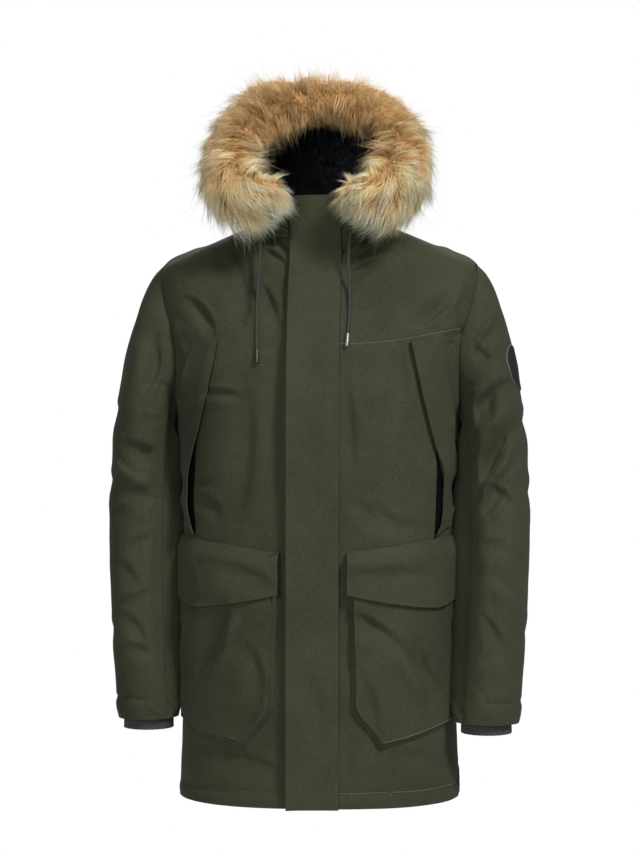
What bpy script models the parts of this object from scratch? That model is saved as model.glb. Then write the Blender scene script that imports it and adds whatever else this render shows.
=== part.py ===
"""Fur trimmed parka, hollow, as it hangs on a wearer.

Metres, +Z up, front towards -Y, origin in the middle of the base of the neck.
Left and right are the wearer's: left is +X.
Every piece that a maker cuts is one closed wall; seams keep a fine gap.
"""

import math

import bpy
from mathutils import Vector

for old in list(bpy.data.objects):
    bpy.data.objects.remove(old, do_unlink=True)


# ---------------------------------------------------------------- sizes

PADDED = 0.0040            # wall of padded shell, lining included
DOUBLE = 0.0030            # two layers of shell cloth
POCKET_DOUBLE = 0.0024     # the same, pressed flat on a pocket
PILE = 0.0025              # lining of the hood
SEAM = 0.0003              # gap between two pieces
PANEL_INSET = 0.0002       # each panel's share of that gap, with a little to spare
LAID_ON = 0.0008           # from the front to a piece sewn flat on it
SIDES = {"left": 1, "right": -1}

# The body, ring by ring from the neck seam to the hem.  A ring may dip from its side
# to its front and back.  corner is the power of its rounded corners: 1 is an ellipse.
BODY = [
    # half_width, front, back, front_z, side_z, back_z, corner
    (0.0920, 0.086, 0.072, -0.0280, 0.0360, 0.0420, 1.00),      # neck seam
    (0.1280, 0.104, 0.090, -0.0500, 0.0190, 0.0240, 1.00),
    (0.1650, 0.119, 0.106, -0.0730, 0.0030, 0.0040, 0.97),
    (0.2030, 0.131, 0.121, -0.0980, -0.0130, -0.0200, 0.94),
    (0.2345, 0.141, 0.133, -0.1250, -0.0320, -0.0500, 0.90),    # shoulder point
    (0.2400, 0.150, 0.142, -0.1550, -0.0850, -0.0950, 0.87),
    (0.2330, 0.156, 0.148, -0.1850, -0.1400, -0.1450, 0.85),
    (0.2230, 0.160, 0.152, -0.2250, -0.2050, -0.2050, 0.83),
    (0.2120, 0.162, 0.154, -0.2720, -0.2720, -0.2720, 0.82),    # armpit
    (0.2055, 0.163, 0.154, -0.3300, -0.3300, -0.3300, 0.81),
    (0.2030, 0.164, 0.154, -0.5000, -0.5000, -0.5000, 0.80),
    (0.2040, 0.165, 0.156, -0.6600, -0.6600, -0.6600, 0.80),
    (0.2090, 0.168, 0.160, -0.8165, -0.8165, -0.8165, 0.80),    # hem
]
# Broad hollows of the back, and of a sleeve: where, how far they reach, how deep.
BACK_HOLLOWS = [
    # angle, ring, reach_angle, reach_ring, depth
    (180, 9.4, 45, 1.3, 0.0060),      # small of the back
    (128, 7.3, 13, 1.0, 0.0050),      # behind each armhole
    (232, 7.3, 13, 1.0, 0.0050),
]
SLEEVE_HOLLOWS = [
    # angle, ring, reach_angle, reach_ring, depth
    (75, 1.9, 32, 0.9, 0.0040),       # in front of the shoulder
    (78, 6.6, 42, 1.1, 0.0055),       # crook of the elbow
    (148, 8.3, 34, 1.0, 0.0035),
    (262, 9.2, 45, 1.2, 0.0030),      # behind the forearm
]
SHOULDER_RING = 4
ARMPIT_RING = 8
HEM_RING = 12
ARMHOLE_ANGLE = math.radians(27)      # half the armhole, seen from above
ARMHOLE_STEPS = 12                    # from the shoulder point to the armpit
YOKE_STEP = 5                         # where the yoke seam meets the armhole
YOKE_RING_AT_CENTRE = 5.0
POCKET_RING = 10.5                    # level with the bellows pockets

# One sleeve, ring by ring from the armhole to its hem: the point furthest out and
# furthest in, and how far the ring reaches to the front and to the back.
SLEEVE = [
    # outer_x, outer_z, inner_x, inner_z, front_y, back_y
    (0.2345, -0.0320, 0.2120, -0.2720, -0.070, 0.070),          # armhole
    (0.2480, -0.0425, 0.2122, -0.2810, -0.080, 0.073),
    (0.2625, -0.0680, 0.2118, -0.2900, -0.088, 0.075),
    (0.2765, -0.1120, 0.2112, -0.3010, -0.094, 0.075),
    (0.2900, -0.1650, 0.2108, -0.3160, -0.100, 0.072),
    (0.3010, -0.2300, 0.2106, -0.3380, -0.104, 0.067),
    (0.3080, -0.2950, 0.2105, -0.3680, -0.107, 0.060),
    (0.3120, -0.3650, 0.2105, -0.4050, -0.109, 0.051),          # elbow
    (0.3125, -0.4350, 0.2105, -0.4500, -0.110, 0.042),
    (0.3095, -0.5050, 0.2100, -0.5100, -0.111, 0.031),
    (0.3060, -0.5720, 0.2095, -0.5730, -0.111, 0.020),
    (0.3015, -0.6320, 0.2085, -0.6320, -0.109, 0.008),
    (0.2975, -0.6820, 0.2070, -0.6800, -0.106, -0.003),
    (0.2950, -0.7015, 0.2060, -0.7000, -0.103, -0.007),         # sleeve hem
]
SLEEVE_END = len(SLEEVE) - 1
SLEEVE_BLEND = 5                      # rings over which the armhole's outline fades out
SLEEVE_POINTS = 2 * ARMHOLE_STEPS
FRONT_SEAM_POINT = 9                  # of the two-piece sleeve, counted from its top
BACK_SEAM_POINT = 16
SLEEVE_FORWARD = {"left": 0.030, "right": 0.0}     # how each lies at its hem
SLEEVE_INWARD = {"left": 0.006, "right": 0.0}

# Rib knit cuff inside the sleeve's hem.
CUFF_TOP_RING = 11.6
CUFF_KNIT_TOP = -0.6900
CUFF_BOTTOM = -0.7160
CUFF_HALF_WIDTH = 0.036
CUFF_HALF_DEPTH = 0.038
CUFF_WALL = 0.0030
CUFF_CLEAR = 0.0014                   # from the sleeve, where it is sewn in
RIB_COUNT = 24
RIB_HEIGHT = 0.0012

# Stand collar.
COLLAR_TOP_HALF_WIDTH = 0.087
COLLAR_TOP_FRONT = 0.098
COLLAR_TOP_BACK = 0.082
COLLAR_TOP_FRONT_Z = 0.062
COLLAR_TOP_SIDE_Z = 0.074
COLLAR_TOP_BACK_Z = 0.084

# Tab at the throat, on the right of the collar, where the closure ends.
TAB_X = (-0.0630, -0.0415)
TAB_Z = (0.0050, 0.0590)
TAB_LIFT = 0.0006

# Storm flap over the front closure: x of its free edge and of its sewn edge.
FLAP_FREE_X = -0.038
FLAP_SEWN_X = 0.037
FLAP_TOP = 0.064
FLAP_LIFT_SEWN = 0.0012
FLAP_LIFT_FREE = 0.0035               # the free edge stands off this much more
FLAP_BOTTOM = -0.8170
FLAP_NECK_ROWS = [-0.028, -0.046, -0.066, -0.090, -0.120, -0.155]
FRONT_LEAN = 1.3                      # the upper chest leans back: its lift along Y is larger

# Welt of the slanted chest pocket: free edge and outer edge, from the yoke down.
WELT = [
    # z, free_x, outer_x
    (-0.148, 0.1370, 0.1720),
    (-0.180, 0.1430, 0.1860),
    (-0.228, 0.1530, 0.1960),
    (-0.284, 0.1660, 0.1985),
    (-0.337, 0.1790, 0.1990),
    (-0.390, 0.1800, 0.1985),
    (-0.428, 0.1700, 0.1940),
]
WELT_LIFT_FREE = 0.0025
WELT_FOOT_SLANT = 0.0120              # its outer edge ends this much above its free edge

# Bellows pocket low on the front: its bag, and the flap over its mouth.
BAG_TOP = -0.4700
BAG_EDGE_X = 0.0560
BAG_EDGE_SLANT = 0.0060
BAG_OUTER_X = 0.1960
BAG_FLOOR = [
    # x, z
    (0.0620, -0.6745),                # the cut corner starts
    (0.1000, -0.7250),                # and ends
    (0.1960, -0.6980),
]
BAG_DEPTH_INNER = 0.0140              # how far it stands off the front
BAG_DEPTH_OUTER = 0.0062
GUSSET_FLARE = 0.0070                 # the gusset's foot lies outside the bag's edge
GUSSET_WALL = 0.0020
GUSSET_CLEAR = 0.0008                 # from its upper edge to the bag's face
STEEP_FROM_X = 0.1760                 # beyond this the gusset stands nearly upright
OUTER_FLARE_SHARE = 0.25
POCKET_FLAP_EDGE_X = 0.0480
POCKET_FLAP_OUTER_X = 0.1965
POCKET_FLAP = [
    # x, top_z, bottom_z
    (0.0480, -0.4495, -0.5115),
    (0.1050, -0.4440, -0.5240),
    (0.1700, -0.4350, -0.5340),
    (0.1965, -0.4310, -0.5220),
]
POCKET_FLAP_LIFT = 0.0014
POCKET_FLAP_RISE = 0.22               # share of its height over which it climbs the bag
POCKET_FLAP_ROWS = [0.0, 0.10, POCKET_FLAP_RISE, 0.42, 0.62, 0.82, 1.0]

# Fur ruff round the face: centre line of one half, from the chin to the crown.
RUFF = [
    # x, y, z, radius
    (0.0520, -0.1310, 0.0660, 0.022),
    (0.0720, -0.1370, 0.0600, 0.036),
    (0.0970, -0.1320, 0.0640, 0.045),
    (0.1200, -0.1020, 0.0870, 0.047),
    (0.1290, -0.0580, 0.1220, 0.043),
    (0.1160, -0.0120, 0.1690, 0.043),
    (0.0790, 0.0140, 0.2060, 0.043),
    (0.0000, 0.0260, 0.2200, 0.042),
]
RUFF_SIDES = 12
RUFF_TUFT = 0.06                      # the outline swells and narrows by this part
RIM_CLEAR = 0.0036                    # from the ruff's back to the hood's edge

# The hood behind its rim: two arches of one half, from the neck seam to the crown.
HOOD_WALL = 0.0030
LINING_CLEAR = 0.0015
LINING_ROWS = (1, 7)                  # of the hood's own rows, counted from its rim
HOOD_FOOT_ANGLES = [math.radians(a) for a in (38, 78, 118, 150)]
HOOD_FOOT_RING = 0.13
HOOD_FOOT_LIFT = 0.0034
HOOD_MIDDLE = [
    # x, y, z
    (0.1240, 0.000, 0.0620),
    (0.1380, 0.045, 0.1080),
    (0.0980, 0.105, 0.1680),
    (0.0000, 0.126, 0.1860),
]
HOOD_POUCH = [
    # x, y, z
    (0.1060, 0.058, 0.0560),
    (0.1020, 0.100, 0.0800),
    (0.0660, 0.146, 0.1040),
    (0.0000, 0.162, 0.1130),
]

# Drawcords of the hood: each hangs clear of the collar, then lies on the yoke.
CORD_DIAMETER = 0.0040
CORD_ROUTE = {
    # x, y, z
    "left": [(0.0520, -0.1130, 0.0420), (0.0508, -0.1175, 0.0050), (0.0485, -0.1210, -0.0340),
             (0.0505, -0.1255, -0.0700), (0.0510, -0.1358, -0.1050), (0.0490, -0.1475, -0.1390)],
    "right": [(-0.0770, -0.1085, 0.0260), (-0.0785, -0.1130, -0.0020), (-0.0805, -0.1175, -0.0340),
              (-0.0825, -0.1240, -0.0740), (-0.0830, -0.1372, -0.1150), (-0.0815, -0.1503, -0.1620)],
}
CORD_POINTS = 26
TIP_LENGTH = 0.0200
TIP_DIAMETER = 0.0052


# ---------------------------------------------------------------- helpers

def spline(rows, place):
    """The row at place, on a smooth curve through all the rows."""
    last = len(rows) - 1
    place = min(max(place, 0.0), float(last))
    first = min(int(place), last - 1)
    part = place - first
    a, b, c, d = (rows[min(max(first + step, 0), last)] for step in (-1, 0, 1, 2))
    result = []
    for p, q, r, s in zip(a, b, c, d):
        slope = r - p
        bend = 2 * p - 5 * q + 4 * r - s
        twist = 3 * q - p - 3 * r + s
        result.append(q + 0.5 * part * (slope + part * (bend + part * twist)))
    return result


def mix(low, high, share):
    return low + (high - low) * share


def straight(rows, x, column=1):
    """The value of a column at x, along straight lines between the rows."""
    for before, after in zip(rows, rows[1:]):
        if x <= after[0]:
            break
    share = (x - before[0]) / (after[0] - before[0])
    return mix(before[column], after[column], min(max(share, 0.0), 1.0))


def steps(low, high, count):
    return [mix(low, high, i / count) for i in range(count + 1)]


def hollow(table, angle, ring):
    """How deep the cloth lies in the broad hollows of a table."""
    depth = 0.0
    for middle, place, reach_angle, reach_ring, deep in table:
        off = (math.degrees(angle) - middle + 180) % 360 - 180
        depth += deep * math.exp(-(off / reach_angle) ** 2 - ((ring - place) / reach_ring) ** 2)
    return depth


def mirrored(point, side):
    return Vector((point.x * SIDES[side], point.y, point.z))


def cloth(name, colour, roughness, metallic=0.0):
    """A material for one piece."""
    material = bpy.data.materials.new(name + "_material")
    material.use_nodes = True
    shader = material.node_tree.nodes["Principled BSDF"]
    shader.inputs["Base Color"].default_value = (*colour, 1.0)
    shader.inputs["Roughness"].default_value = roughness
    shader.inputs["Metallic"].default_value = metallic
    return material


OLIVE = (0.048, 0.054, 0.033)
RIB_GREY = (0.036, 0.040, 0.030)
NAVY = (0.006, 0.006, 0.009)
TAN = (0.470, 0.320, 0.165)
GREY = (0.080, 0.088, 0.078)
SILVER = (0.420, 0.440, 0.420)


def new_object(name, points, faces, colour, roughness=0.85, metallic=0.0):
    mesh = bpy.data.meshes.new(name)
    mesh.from_pydata([tuple(p) for p in points], [], faces)
    mesh.validate()
    mesh.shade_smooth()
    mesh.set_sharp_from_angle(angle=math.radians(50))
    mesh.materials.append(cloth(name, colour, roughness, metallic))
    piece = bpy.data.objects.new(name, mesh)
    bpy.context.scene.collection.objects.link(piece)
    return piece


def inset(grid, amount, ring=False):
    """Pull a grid's edges in along the cloth, so that neighbours keep their gap."""
    rows = [list(row) for row in grid]
    pulled = [list(row) for row in grid]
    last_row = len(rows) - 1
    for edge, beside in ((0, 1), (last_row, last_row - 1)):
        for i, point in enumerate(rows[edge]):
            pulled[edge][i] = pulled[edge][i] + (rows[beside][i] - point).normalized() * amount
    if ring:
        return pulled
    last = len(rows[0]) - 1
    for edge, beside in ((0, 1), (last, last - 1)):
        for j, row in enumerate(rows):
            pulled[j][edge] = pulled[j][edge] + (row[beside] - row[edge]).normalized() * amount
    return pulled


def wall(name, outer, inner, colour, roughness=0.85, ring=False):
    """A closed wall between two grids of points.  ring joins its last column to its first."""
    rows = len(outer)
    columns = len(outer[0])
    points = [p for row in outer for p in row] + [p for row in inner for p in row]
    offset = rows * columns
    spans = columns if ring else columns - 1

    def at(j, i, layer):
        return layer * offset + j * columns + i % columns

    faces = []
    for j in range(rows - 1):
        for i in range(spans):
            faces.append((at(j, i, 0), at(j, i + 1, 0), at(j + 1, i + 1, 0), at(j + 1, i, 0)))
            faces.append((at(j, i, 1), at(j + 1, i, 1), at(j + 1, i + 1, 1), at(j, i + 1, 1)))
    last = rows - 1
    for i in range(spans):
        faces.append((at(0, i, 0), at(0, i, 1), at(0, i + 1, 1), at(0, i + 1, 0)))
        faces.append((at(last, i, 0), at(last, i + 1, 0), at(last, i + 1, 1), at(last, i, 1)))
    if not ring:
        end = columns - 1
        for j in range(last):
            faces.append((at(j, 0, 0), at(j + 1, 0, 0), at(j + 1, 0, 1), at(j, 0, 1)))
            faces.append((at(j, end, 0), at(j, end, 1), at(j + 1, end, 1), at(j + 1, end, 0)))
    if enclosed(points, faces) < 0:
        faces = [face[::-1] for face in faces]
    return new_object(name, points, faces, colour, roughness)


def enclosed(points, faces):
    """Six times the volume inside the faces, negative if they face in."""
    total = 0.0
    for face in faces:
        for second, third in zip(face[1:], face[2:]):
            total += points[face[0]].dot(points[second].cross(points[third]))
    return total


# ---------------------------------------------------------------- the body

def body_flat(angle, ring):
    """A point of the body's outer face; angle 0 is the centre front, 90 degrees the side."""
    half, front, back, front_z, side_z, back_z, corner = spline(BODY, ring)
    across = math.sin(angle)
    ahead = math.cos(angle)
    x = half * math.copysign(abs(across) ** corner, across)
    depth, middle_z = (front, front_z) if ahead > 0 else (back, back_z)
    y = -depth * math.copysign(abs(ahead) ** corner, ahead)
    return Vector((x, y, mix(side_z, middle_z, ahead * ahead)))


def body(angle, ring, lift=0.0):
    """The same point moved out of the cloth by lift."""
    turn = 0.03
    if math.cos(angle) < -0.1:
        lift -= hollow(BACK_HOLLOWS, angle, ring)
    low = max(ring - 0.1, 0.0)
    high = min(ring + 0.1, float(HEM_RING))
    around = body_flat(angle + turn, ring) - body_flat(angle - turn, ring)
    down = body_flat(angle, high) - body_flat(angle, low)
    return body_flat(angle, ring) + down.cross(around).normalized() * lift


def armhole_half_angle(ring):
    share = (ring - SHOULDER_RING) / (ARMPIT_RING - SHOULDER_RING)
    if share <= 0 or share >= 1:
        return 0.0
    return ARMHOLE_ANGLE * math.sin(math.pi * share) ** 0.72


def side_angle(ring):
    """Where a front ends: at the shoulder seam, the armhole or the side seam."""
    return math.pi / 2 - armhole_half_angle(ring)


ARMHOLE_RINGS = steps(SHOULDER_RING, ARMPIT_RING, ARMHOLE_STEPS)
SHOULDER_RINGS = steps(0, SHOULDER_RING, 8)[:-1]
LOWER_RINGS = steps(ARMPIT_RING, HEM_RING, 7)[1:]
YOKE_RING = ARMHOLE_RINGS[YOKE_STEP]
FRONT_COLUMNS = 8


def body_panel(name, place, rows, columns):
    """place gives the angle and the ring of each row and column."""
    outer = []
    inner = []
    for row in rows:
        spots = [place(row, column) for column in columns]
        outer.append([body(angle, ring) for angle, ring in spots])
        inner.append([body(angle, ring, -PADDED) for angle, ring in spots])
    wall(name, inset(outer, PANEL_INSET), inset(inner, PANEL_INSET), OLIVE)


def make_fronts():
    """Fronts run from the yoke seam to the hem and meet at the centre, under the flap."""
    rows = ARMHOLE_RINGS[YOKE_STEP:] + LOWER_RINGS
    above = (ARMPIT_RING - YOKE_RING_AT_CENTRE) / (ARMPIT_RING - YOKE_RING)
    for side, sign in SIDES.items():
        def place(row, share, sign=sign):
            ring = row
            if row < ARMPIT_RING:
                ring = ARMPIT_RING - (ARMPIT_RING - row) * mix(above, 1.0, share)
            return sign * side_angle(row) * share, ring
        body_panel("front_" + side, place, rows, steps(0, 1, FRONT_COLUMNS))


def make_yokes():
    """Front yokes reach from their seam over the collarbone to neck and shoulder seam."""
    rows = SHOULDER_RINGS + ARMHOLE_RINGS[:YOKE_STEP + 1]
    centre = YOKE_RING_AT_CENTRE / YOKE_RING
    for side, sign in SIDES.items():
        def place(row, share, sign=sign):
            return sign * side_angle(row) * share, row * mix(centre, 1.0, share)
        body_panel("yoke_" + side, place, rows, steps(0, 1, FRONT_COLUMNS))


def make_back():
    """The back is one panel from neck and shoulder seams to the hem."""
    def place(row, share):
        return mix(math.pi - side_angle(row), math.pi + side_angle(row), share), row
    rows = SHOULDER_RINGS + ARMHOLE_RINGS + LOWER_RINGS
    body_panel("back", place, rows, steps(0, 1, 14))


def on_front(x, z):
    """The angle and ring of the front's point that is seen at x, z."""
    angle = 0.0
    ring = 0.0
    for _ in range(10):
        low, high = 0.0, float(HEM_RING)
        for _ in range(22):
            ring = (low + high) / 2
            if body_flat(angle, ring).z > z:
                low = ring
            else:
                high = ring
        half, *_, corner = spline(BODY, ring)
        angle = math.copysign(math.asin(min(abs(x) / half, 0.9995) ** (1 / corner)), x)
    return angle, ring


def front(x, z, lift):
    angle, ring = on_front(x, z)
    return body(angle, ring, lift)


# ---------------------------------------------------------------- sleeves

def armhole(index):
    """Seam point; index 0 is the shoulder point, and the front comes first."""
    index %= SLEEVE_POINTS
    forward = index <= ARMHOLE_STEPS
    ring = ARMHOLE_RINGS[index if forward else SLEEVE_POINTS - index]
    half = armhole_half_angle(ring)
    return body_flat(math.pi / 2 + (-half if forward else half), ring)


def sleeve_oval(side, angle, ring):
    """A ring of the sleeve without the armhole's outline."""
    outer_x, outer_z, inner_x, inner_z, front_y, back_y = spline(SLEEVE, ring)
    hang = ring / SLEEVE_END
    inner_x -= SLEEVE_INWARD[side] * hang ** 3
    ahead = -SLEEVE_FORWARD[side] * hang ** 2
    outer = Vector((outer_x, 0, outer_z))
    inner = Vector((inner_x, 0, inner_z))
    middle = (outer + inner) / 2 + Vector((0, (front_y + back_y) / 2 + ahead, 0))
    across = (outer - inner) / 2
    return middle + across * math.cos(angle) - Vector((0, (back_y - front_y) / 2, 0)) * math.sin(angle)


def armhole_error(side, index):
    return armhole(index) - sleeve_oval(side, 2 * math.pi * index / SLEEVE_POINTS, 0)


def sleeve_flat(side, angle, ring):
    """A point of the sleeve's outer face as if it were on the left."""
    point = sleeve_oval(side, angle, ring)
    fade = max(0.0, 1 - ring / SLEEVE_BLEND) ** 2
    if fade == 0:
        return point
    index = angle / (2 * math.pi) * SLEEVE_POINTS
    low = math.floor(index)
    error = armhole_error(side, low).lerp(armhole_error(side, low + 1), index - low)
    return point + error * fade


def sleeve(side, angle, ring, lift=0.0):
    """lift moves a point away from the middle of its ring."""
    point = sleeve_flat(side, angle, ring)
    middle = (point + sleeve_flat(side, angle + math.pi, ring)) / 2
    lift -= hollow(SLEEVE_HOLLOWS, angle, ring)
    return mirrored(point + (point - middle).normalized() * lift, side)


def make_sleeves():
    """A top piece and an under piece, joined along a front and a back seam."""
    rings = steps(0, SLEEVE_END, SLEEVE_END)
    spans = {
        "sleeve_top_": range(BACK_SEAM_POINT - SLEEVE_POINTS, FRONT_SEAM_POINT + 1),
        "sleeve_under_": range(FRONT_SEAM_POINT, BACK_SEAM_POINT + 1),
    }
    for side in SIDES:
        for start, indices in spans.items():
            angles = [2 * math.pi * i / SLEEVE_POINTS for i in indices]
            outer = [[sleeve(side, a, ring) for a in angles] for ring in rings]
            inner = [[sleeve(side, a, ring, -PADDED) for a in angles] for ring in rings]
            wall(start + side, inset(outer, SEAM * 1.5), inset(inner, SEAM * 1.5), OLIVE)


def make_rib_cuffs():
    """Knitted tubes sewn inside the sleeve hems; the ribs stand out of a plain inside."""
    count = 2 * RIB_COUNT
    angles = [2 * math.pi * i / count for i in range(count)]
    inside = PADDED + CUFF_CLEAR
    for side in SIDES:
        end = sleeve_oval(side, 0, SLEEVE_END) + sleeve_oval(side, math.pi, SLEEVE_END)
        middle = mirrored(end / 2, side)

        def knitted(angle, z):
            reach = Vector((CUFF_HALF_WIDTH * math.cos(angle), -CUFF_HALF_DEPTH * math.sin(angle), 0))
            return Vector((middle.x, middle.y, z)) + mirrored(reach, side)

        outer = [[sleeve(side, a, CUFF_TOP_RING, -inside) for a in angles]]
        for z in (CUFF_KNIT_TOP, CUFF_BOTTOM):
            outer.append([knitted(a, z) for a in angles])
        inner = []
        for j, row in enumerate(outer):
            centre = sum(row, Vector()) / count
            inner.append([p + (centre - p).normalized() * CUFF_WALL for p in row])
            if j:
                for i in range(0, count, 2):
                    row[i] = row[i] + (row[i] - centre).normalized() * RIB_HEIGHT
        wall("rib_cuff_" + side, outer, inner, RIB_GREY, 0.95, ring=True)


# ---------------------------------------------------------------- collar and flap

def collar(angle, height, lift=0.0):
    """The stand collar's outer face; height 0 is the neck seam and 1 its top."""
    foot = body_flat(angle, 0)
    across = math.sin(angle)
    ahead = math.cos(angle)
    depth, middle_z = (COLLAR_TOP_FRONT, COLLAR_TOP_FRONT_Z)
    if ahead < 0:
        depth, middle_z = (COLLAR_TOP_BACK, COLLAR_TOP_BACK_Z)
    top = Vector((COLLAR_TOP_HALF_WIDTH * across, -depth * ahead,
                  mix(COLLAR_TOP_SIDE_Z, middle_z, ahead * ahead)))
    out = Vector((across, -ahead, 0))
    return foot.lerp(top, height) + out * lift


def make_collar():
    opening = SEAM / COLLAR_TOP_FRONT
    turns = steps(0, 2 * math.pi, 4 * FRONT_COLUMNS)
    angles = [opening] + turns[1:-1] + [2 * math.pi - opening]
    heights = steps(0, 1, 2)
    outer = [[collar(a, h) for a in angles] for h in heights]
    inner = [[collar(a, h, -DOUBLE) for a in angles] for h in heights]
    for grid in (outer, inner):
        for row in grid:
            for point in row:
                point.z += SEAM
    wall("stand_collar", outer, inner, OLIVE)


def before_front(x, z, lift):
    """A point lift in front of the closed front, and of the collar above the neck seam."""
    neck_half_width = BODY[0][0]
    angle = math.asin(x / neck_half_width)
    neck = body_flat(angle, 0)
    if z < neck.z:
        return Vector((x, front(x, z, 0).y - lift * FRONT_LEAN, z))
    top = collar(angle, 1)
    height = min((z - neck.z) / (top.z - neck.z), 1.05)
    return Vector((x, collar(angle, height).y - lift, z))


def make_collar_tab():
    grids = []
    for lift in (TAB_LIFT + DOUBLE, TAB_LIFT):
        grid = []
        for z in steps(*TAB_Z, 3):
            grid.append([before_front(x, z, lift) for x in steps(*TAB_X, 3)])
        grids.append(grid)
    wall("collar_tab", grids[0], grids[1], OLIVE)


def make_storm_flap():
    """It lies on the fronts and the collar, sewn at one edge and free at the other."""
    heights = steps(FLAP_TOP, FLAP_NECK_ROWS[0], 4) + FLAP_NECK_ROWS[1:]
    heights += steps(-0.19, -0.33, 4) + steps(-0.40, FLAP_BOTTOM, 6)
    shares = steps(0, 1, 4)
    outer = []
    inner = []
    for z in heights:
        xs = [mix(FLAP_FREE_X, FLAP_SEWN_X, share) for share in shares]
        lifts = [FLAP_LIFT_SEWN + FLAP_LIFT_FREE * (1 - share) ** 2 for share in shares]
        outer.append([before_front(x, z, lift + DOUBLE) for x, lift in zip(xs, lifts)])
        inner.append([before_front(x, z, lift) for x, lift in zip(xs, lifts)])
    wall("storm_flap", outer, inner, OLIVE)


# ---------------------------------------------------------------- pockets

def columns_between(low, high):
    """x of the front's own columns at pocket height, between two edges and with them."""
    own = [body_flat(math.pi / 2 * share, POCKET_RING).x for share in steps(0, 1, FRONT_COLUMNS)]
    return [low] + [x for x in own if low + 0.008 < x < high - 0.003] + [high]


def make_welts():
    """Long welts of the slanted hand pockets; the inner edge stands off the front."""
    shares = steps(0, 1, 3)
    last = len(WELT) - 1
    for side, sign in SIDES.items():
        outer = []
        inner = []
        for k in steps(0, last, 2 * last):
            z, free_x, outer_x = spline(WELT, k)
            xs = [mix(free_x, outer_x, share) for share in shares]
            zs = [z + WELT_FOOT_SLANT * share * k / last for share in shares]
            lifts = [LAID_ON + WELT_LIFT_FREE * (1 - share) ** 2 for share in shares]
            spots = list(zip(xs, zs, lifts))
            outer.append([front(sign * x, z, lift + POCKET_DOUBLE) for x, z, lift in spots])
            inner.append([front(sign * x, z, lift) for x, z, lift in spots])
        wall("chest_welt_" + side, outer, inner, OLIVE)


def bag_depth(x):
    share = (x - BAG_EDGE_X) / (BAG_OUTER_X - BAG_EDGE_X)
    return mix(BAG_DEPTH_INNER, BAG_DEPTH_OUTER, min(max(share, 0.0), 1.0))


def make_pocket_bags():
    """The bag's face, with its lower inner corner cut off."""
    columns = columns_between(BAG_EDGE_X, BAG_OUTER_X)
    rows = steps(0, 1, 6)
    for side, sign in SIDES.items():
        outer = []
        inner = []
        for share in rows:
            spots = []
            for x in columns:
                fade = (BAG_OUTER_X - x) / (BAG_OUTER_X - columns[0])
                moved = x + BAG_EDGE_SLANT * share * fade
                spots.append((moved, mix(BAG_TOP, straight(BAG_FLOOR, moved), share)))
            outer.append([front(sign * x, z, bag_depth(x) + SEAM / 2) for x, z in spots])
            inner.append([front(sign * x, z, bag_depth(x) - GUSSET_WALL) for x, z in spots])
        wall("pocket_bag_" + side, outer, inner, OLIVE)


def bag_edge():
    """The bag's outline from its inner top corner down, round and up its outer edge."""
    corner, low, _ = BAG_FLOOR
    path = [(mix(BAG_EDGE_X, corner[0], s), mix(BAG_TOP, corner[1], s)) for s in steps(0, 1, 5)]
    path.append(((corner[0] + low[0]) / 2, (corner[1] + low[1]) / 2))
    path += [(x, straight(BAG_FLOOR, x)) for x in columns_between(low[0], BAG_OUTER_X)]
    path += [(BAG_OUTER_X, mix(path[-1][1], BAG_TOP, s)) for s in steps(0, 1, 4)[1:]]
    return path


def shifted(path, amount):
    """The path moved to its right-hand side, which is into the bag, by amount."""
    moved = []
    for i, (x, z) in enumerate(path):
        normals = []
        for first, second in ((i - 1, i), (i, i + 1)):
            if first < 0 or second >= len(path):
                continue
            along = Vector((path[second][0] - path[first][0], path[second][1] - path[first][1]))
            normals.append(Vector((-along.y, along.x)).normalized())
        out = sum(normals, Vector((0, 0))).normalized()
        stretch = 1 / max(out.dot(normals[0]), 0.5)
        moved.append((x + out.x * amount * stretch, z + out.y * amount * stretch))
    return moved


def make_gussets():
    """A strip between the front and the bag's edge; its foot lies outside the edge."""
    edge = bag_edge()
    inside = shifted(edge, GUSSET_WALL)
    foot = shifted(edge, -GUSSET_FLARE)
    foot_inside = shifted(edge, GUSSET_WALL - GUSSET_FLARE)
    steep = shifted(edge, -GUSSET_FLARE * OUTER_FLARE_SHARE)
    steep_inside = shifted(edge, GUSSET_WALL - GUSSET_FLARE * OUTER_FLARE_SHARE)
    for side, sign in SIDES.items():
        grids = []
        for top_edge, low_edge, low_steep in ((edge, foot, steep), (inside, foot_inside, steep_inside)):
            grid = []
            for share in (0.0, 0.5, 1.0):
                row = []
                for i, (x, _) in enumerate(edge):
                    low = low_edge[i] if x < STEEP_FROM_X else low_steep[i]
                    lift = mix(LAID_ON, bag_depth(x) - GUSSET_WALL - GUSSET_CLEAR, share)
                    row.append(front(sign * mix(low[0], top_edge[i][0], share),
                                     mix(low[1], top_edge[i][1], share), lift))
                grid.append(row)
            grids.append(grid)
        wall("pocket_gusset_" + side, grids[0], grids[1], OLIVE)


def make_pocket_flaps():
    """A flap sewn on above the bag's mouth, falling over it."""
    columns = columns_between(POCKET_FLAP_EDGE_X, POCKET_FLAP_OUTER_X)
    for side, sign in SIDES.items():
        outer = []
        inner = []
        for share in POCKET_FLAP_ROWS:
            row_out = []
            row_in = []
            for x in columns:
                top = straight(POCKET_FLAP, x, 1)
                z = mix(top, straight(POCKET_FLAP, x, 2), share)
                rise = min(share / POCKET_FLAP_RISE, 1.0)
                lift = mix(LAID_ON, bag_depth(x) + POCKET_FLAP_LIFT, rise)
                row_out.append(front(sign * x, z, lift + POCKET_DOUBLE))
                row_in.append(front(sign * x, z, lift))
            outer.append(row_out)
            inner.append(row_in)
        wall("pocket_flap_" + side, outer, inner, OLIVE)


# ---------------------------------------------------------------- hood and ruff

RUFF_END = len(RUFF) - 1


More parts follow.
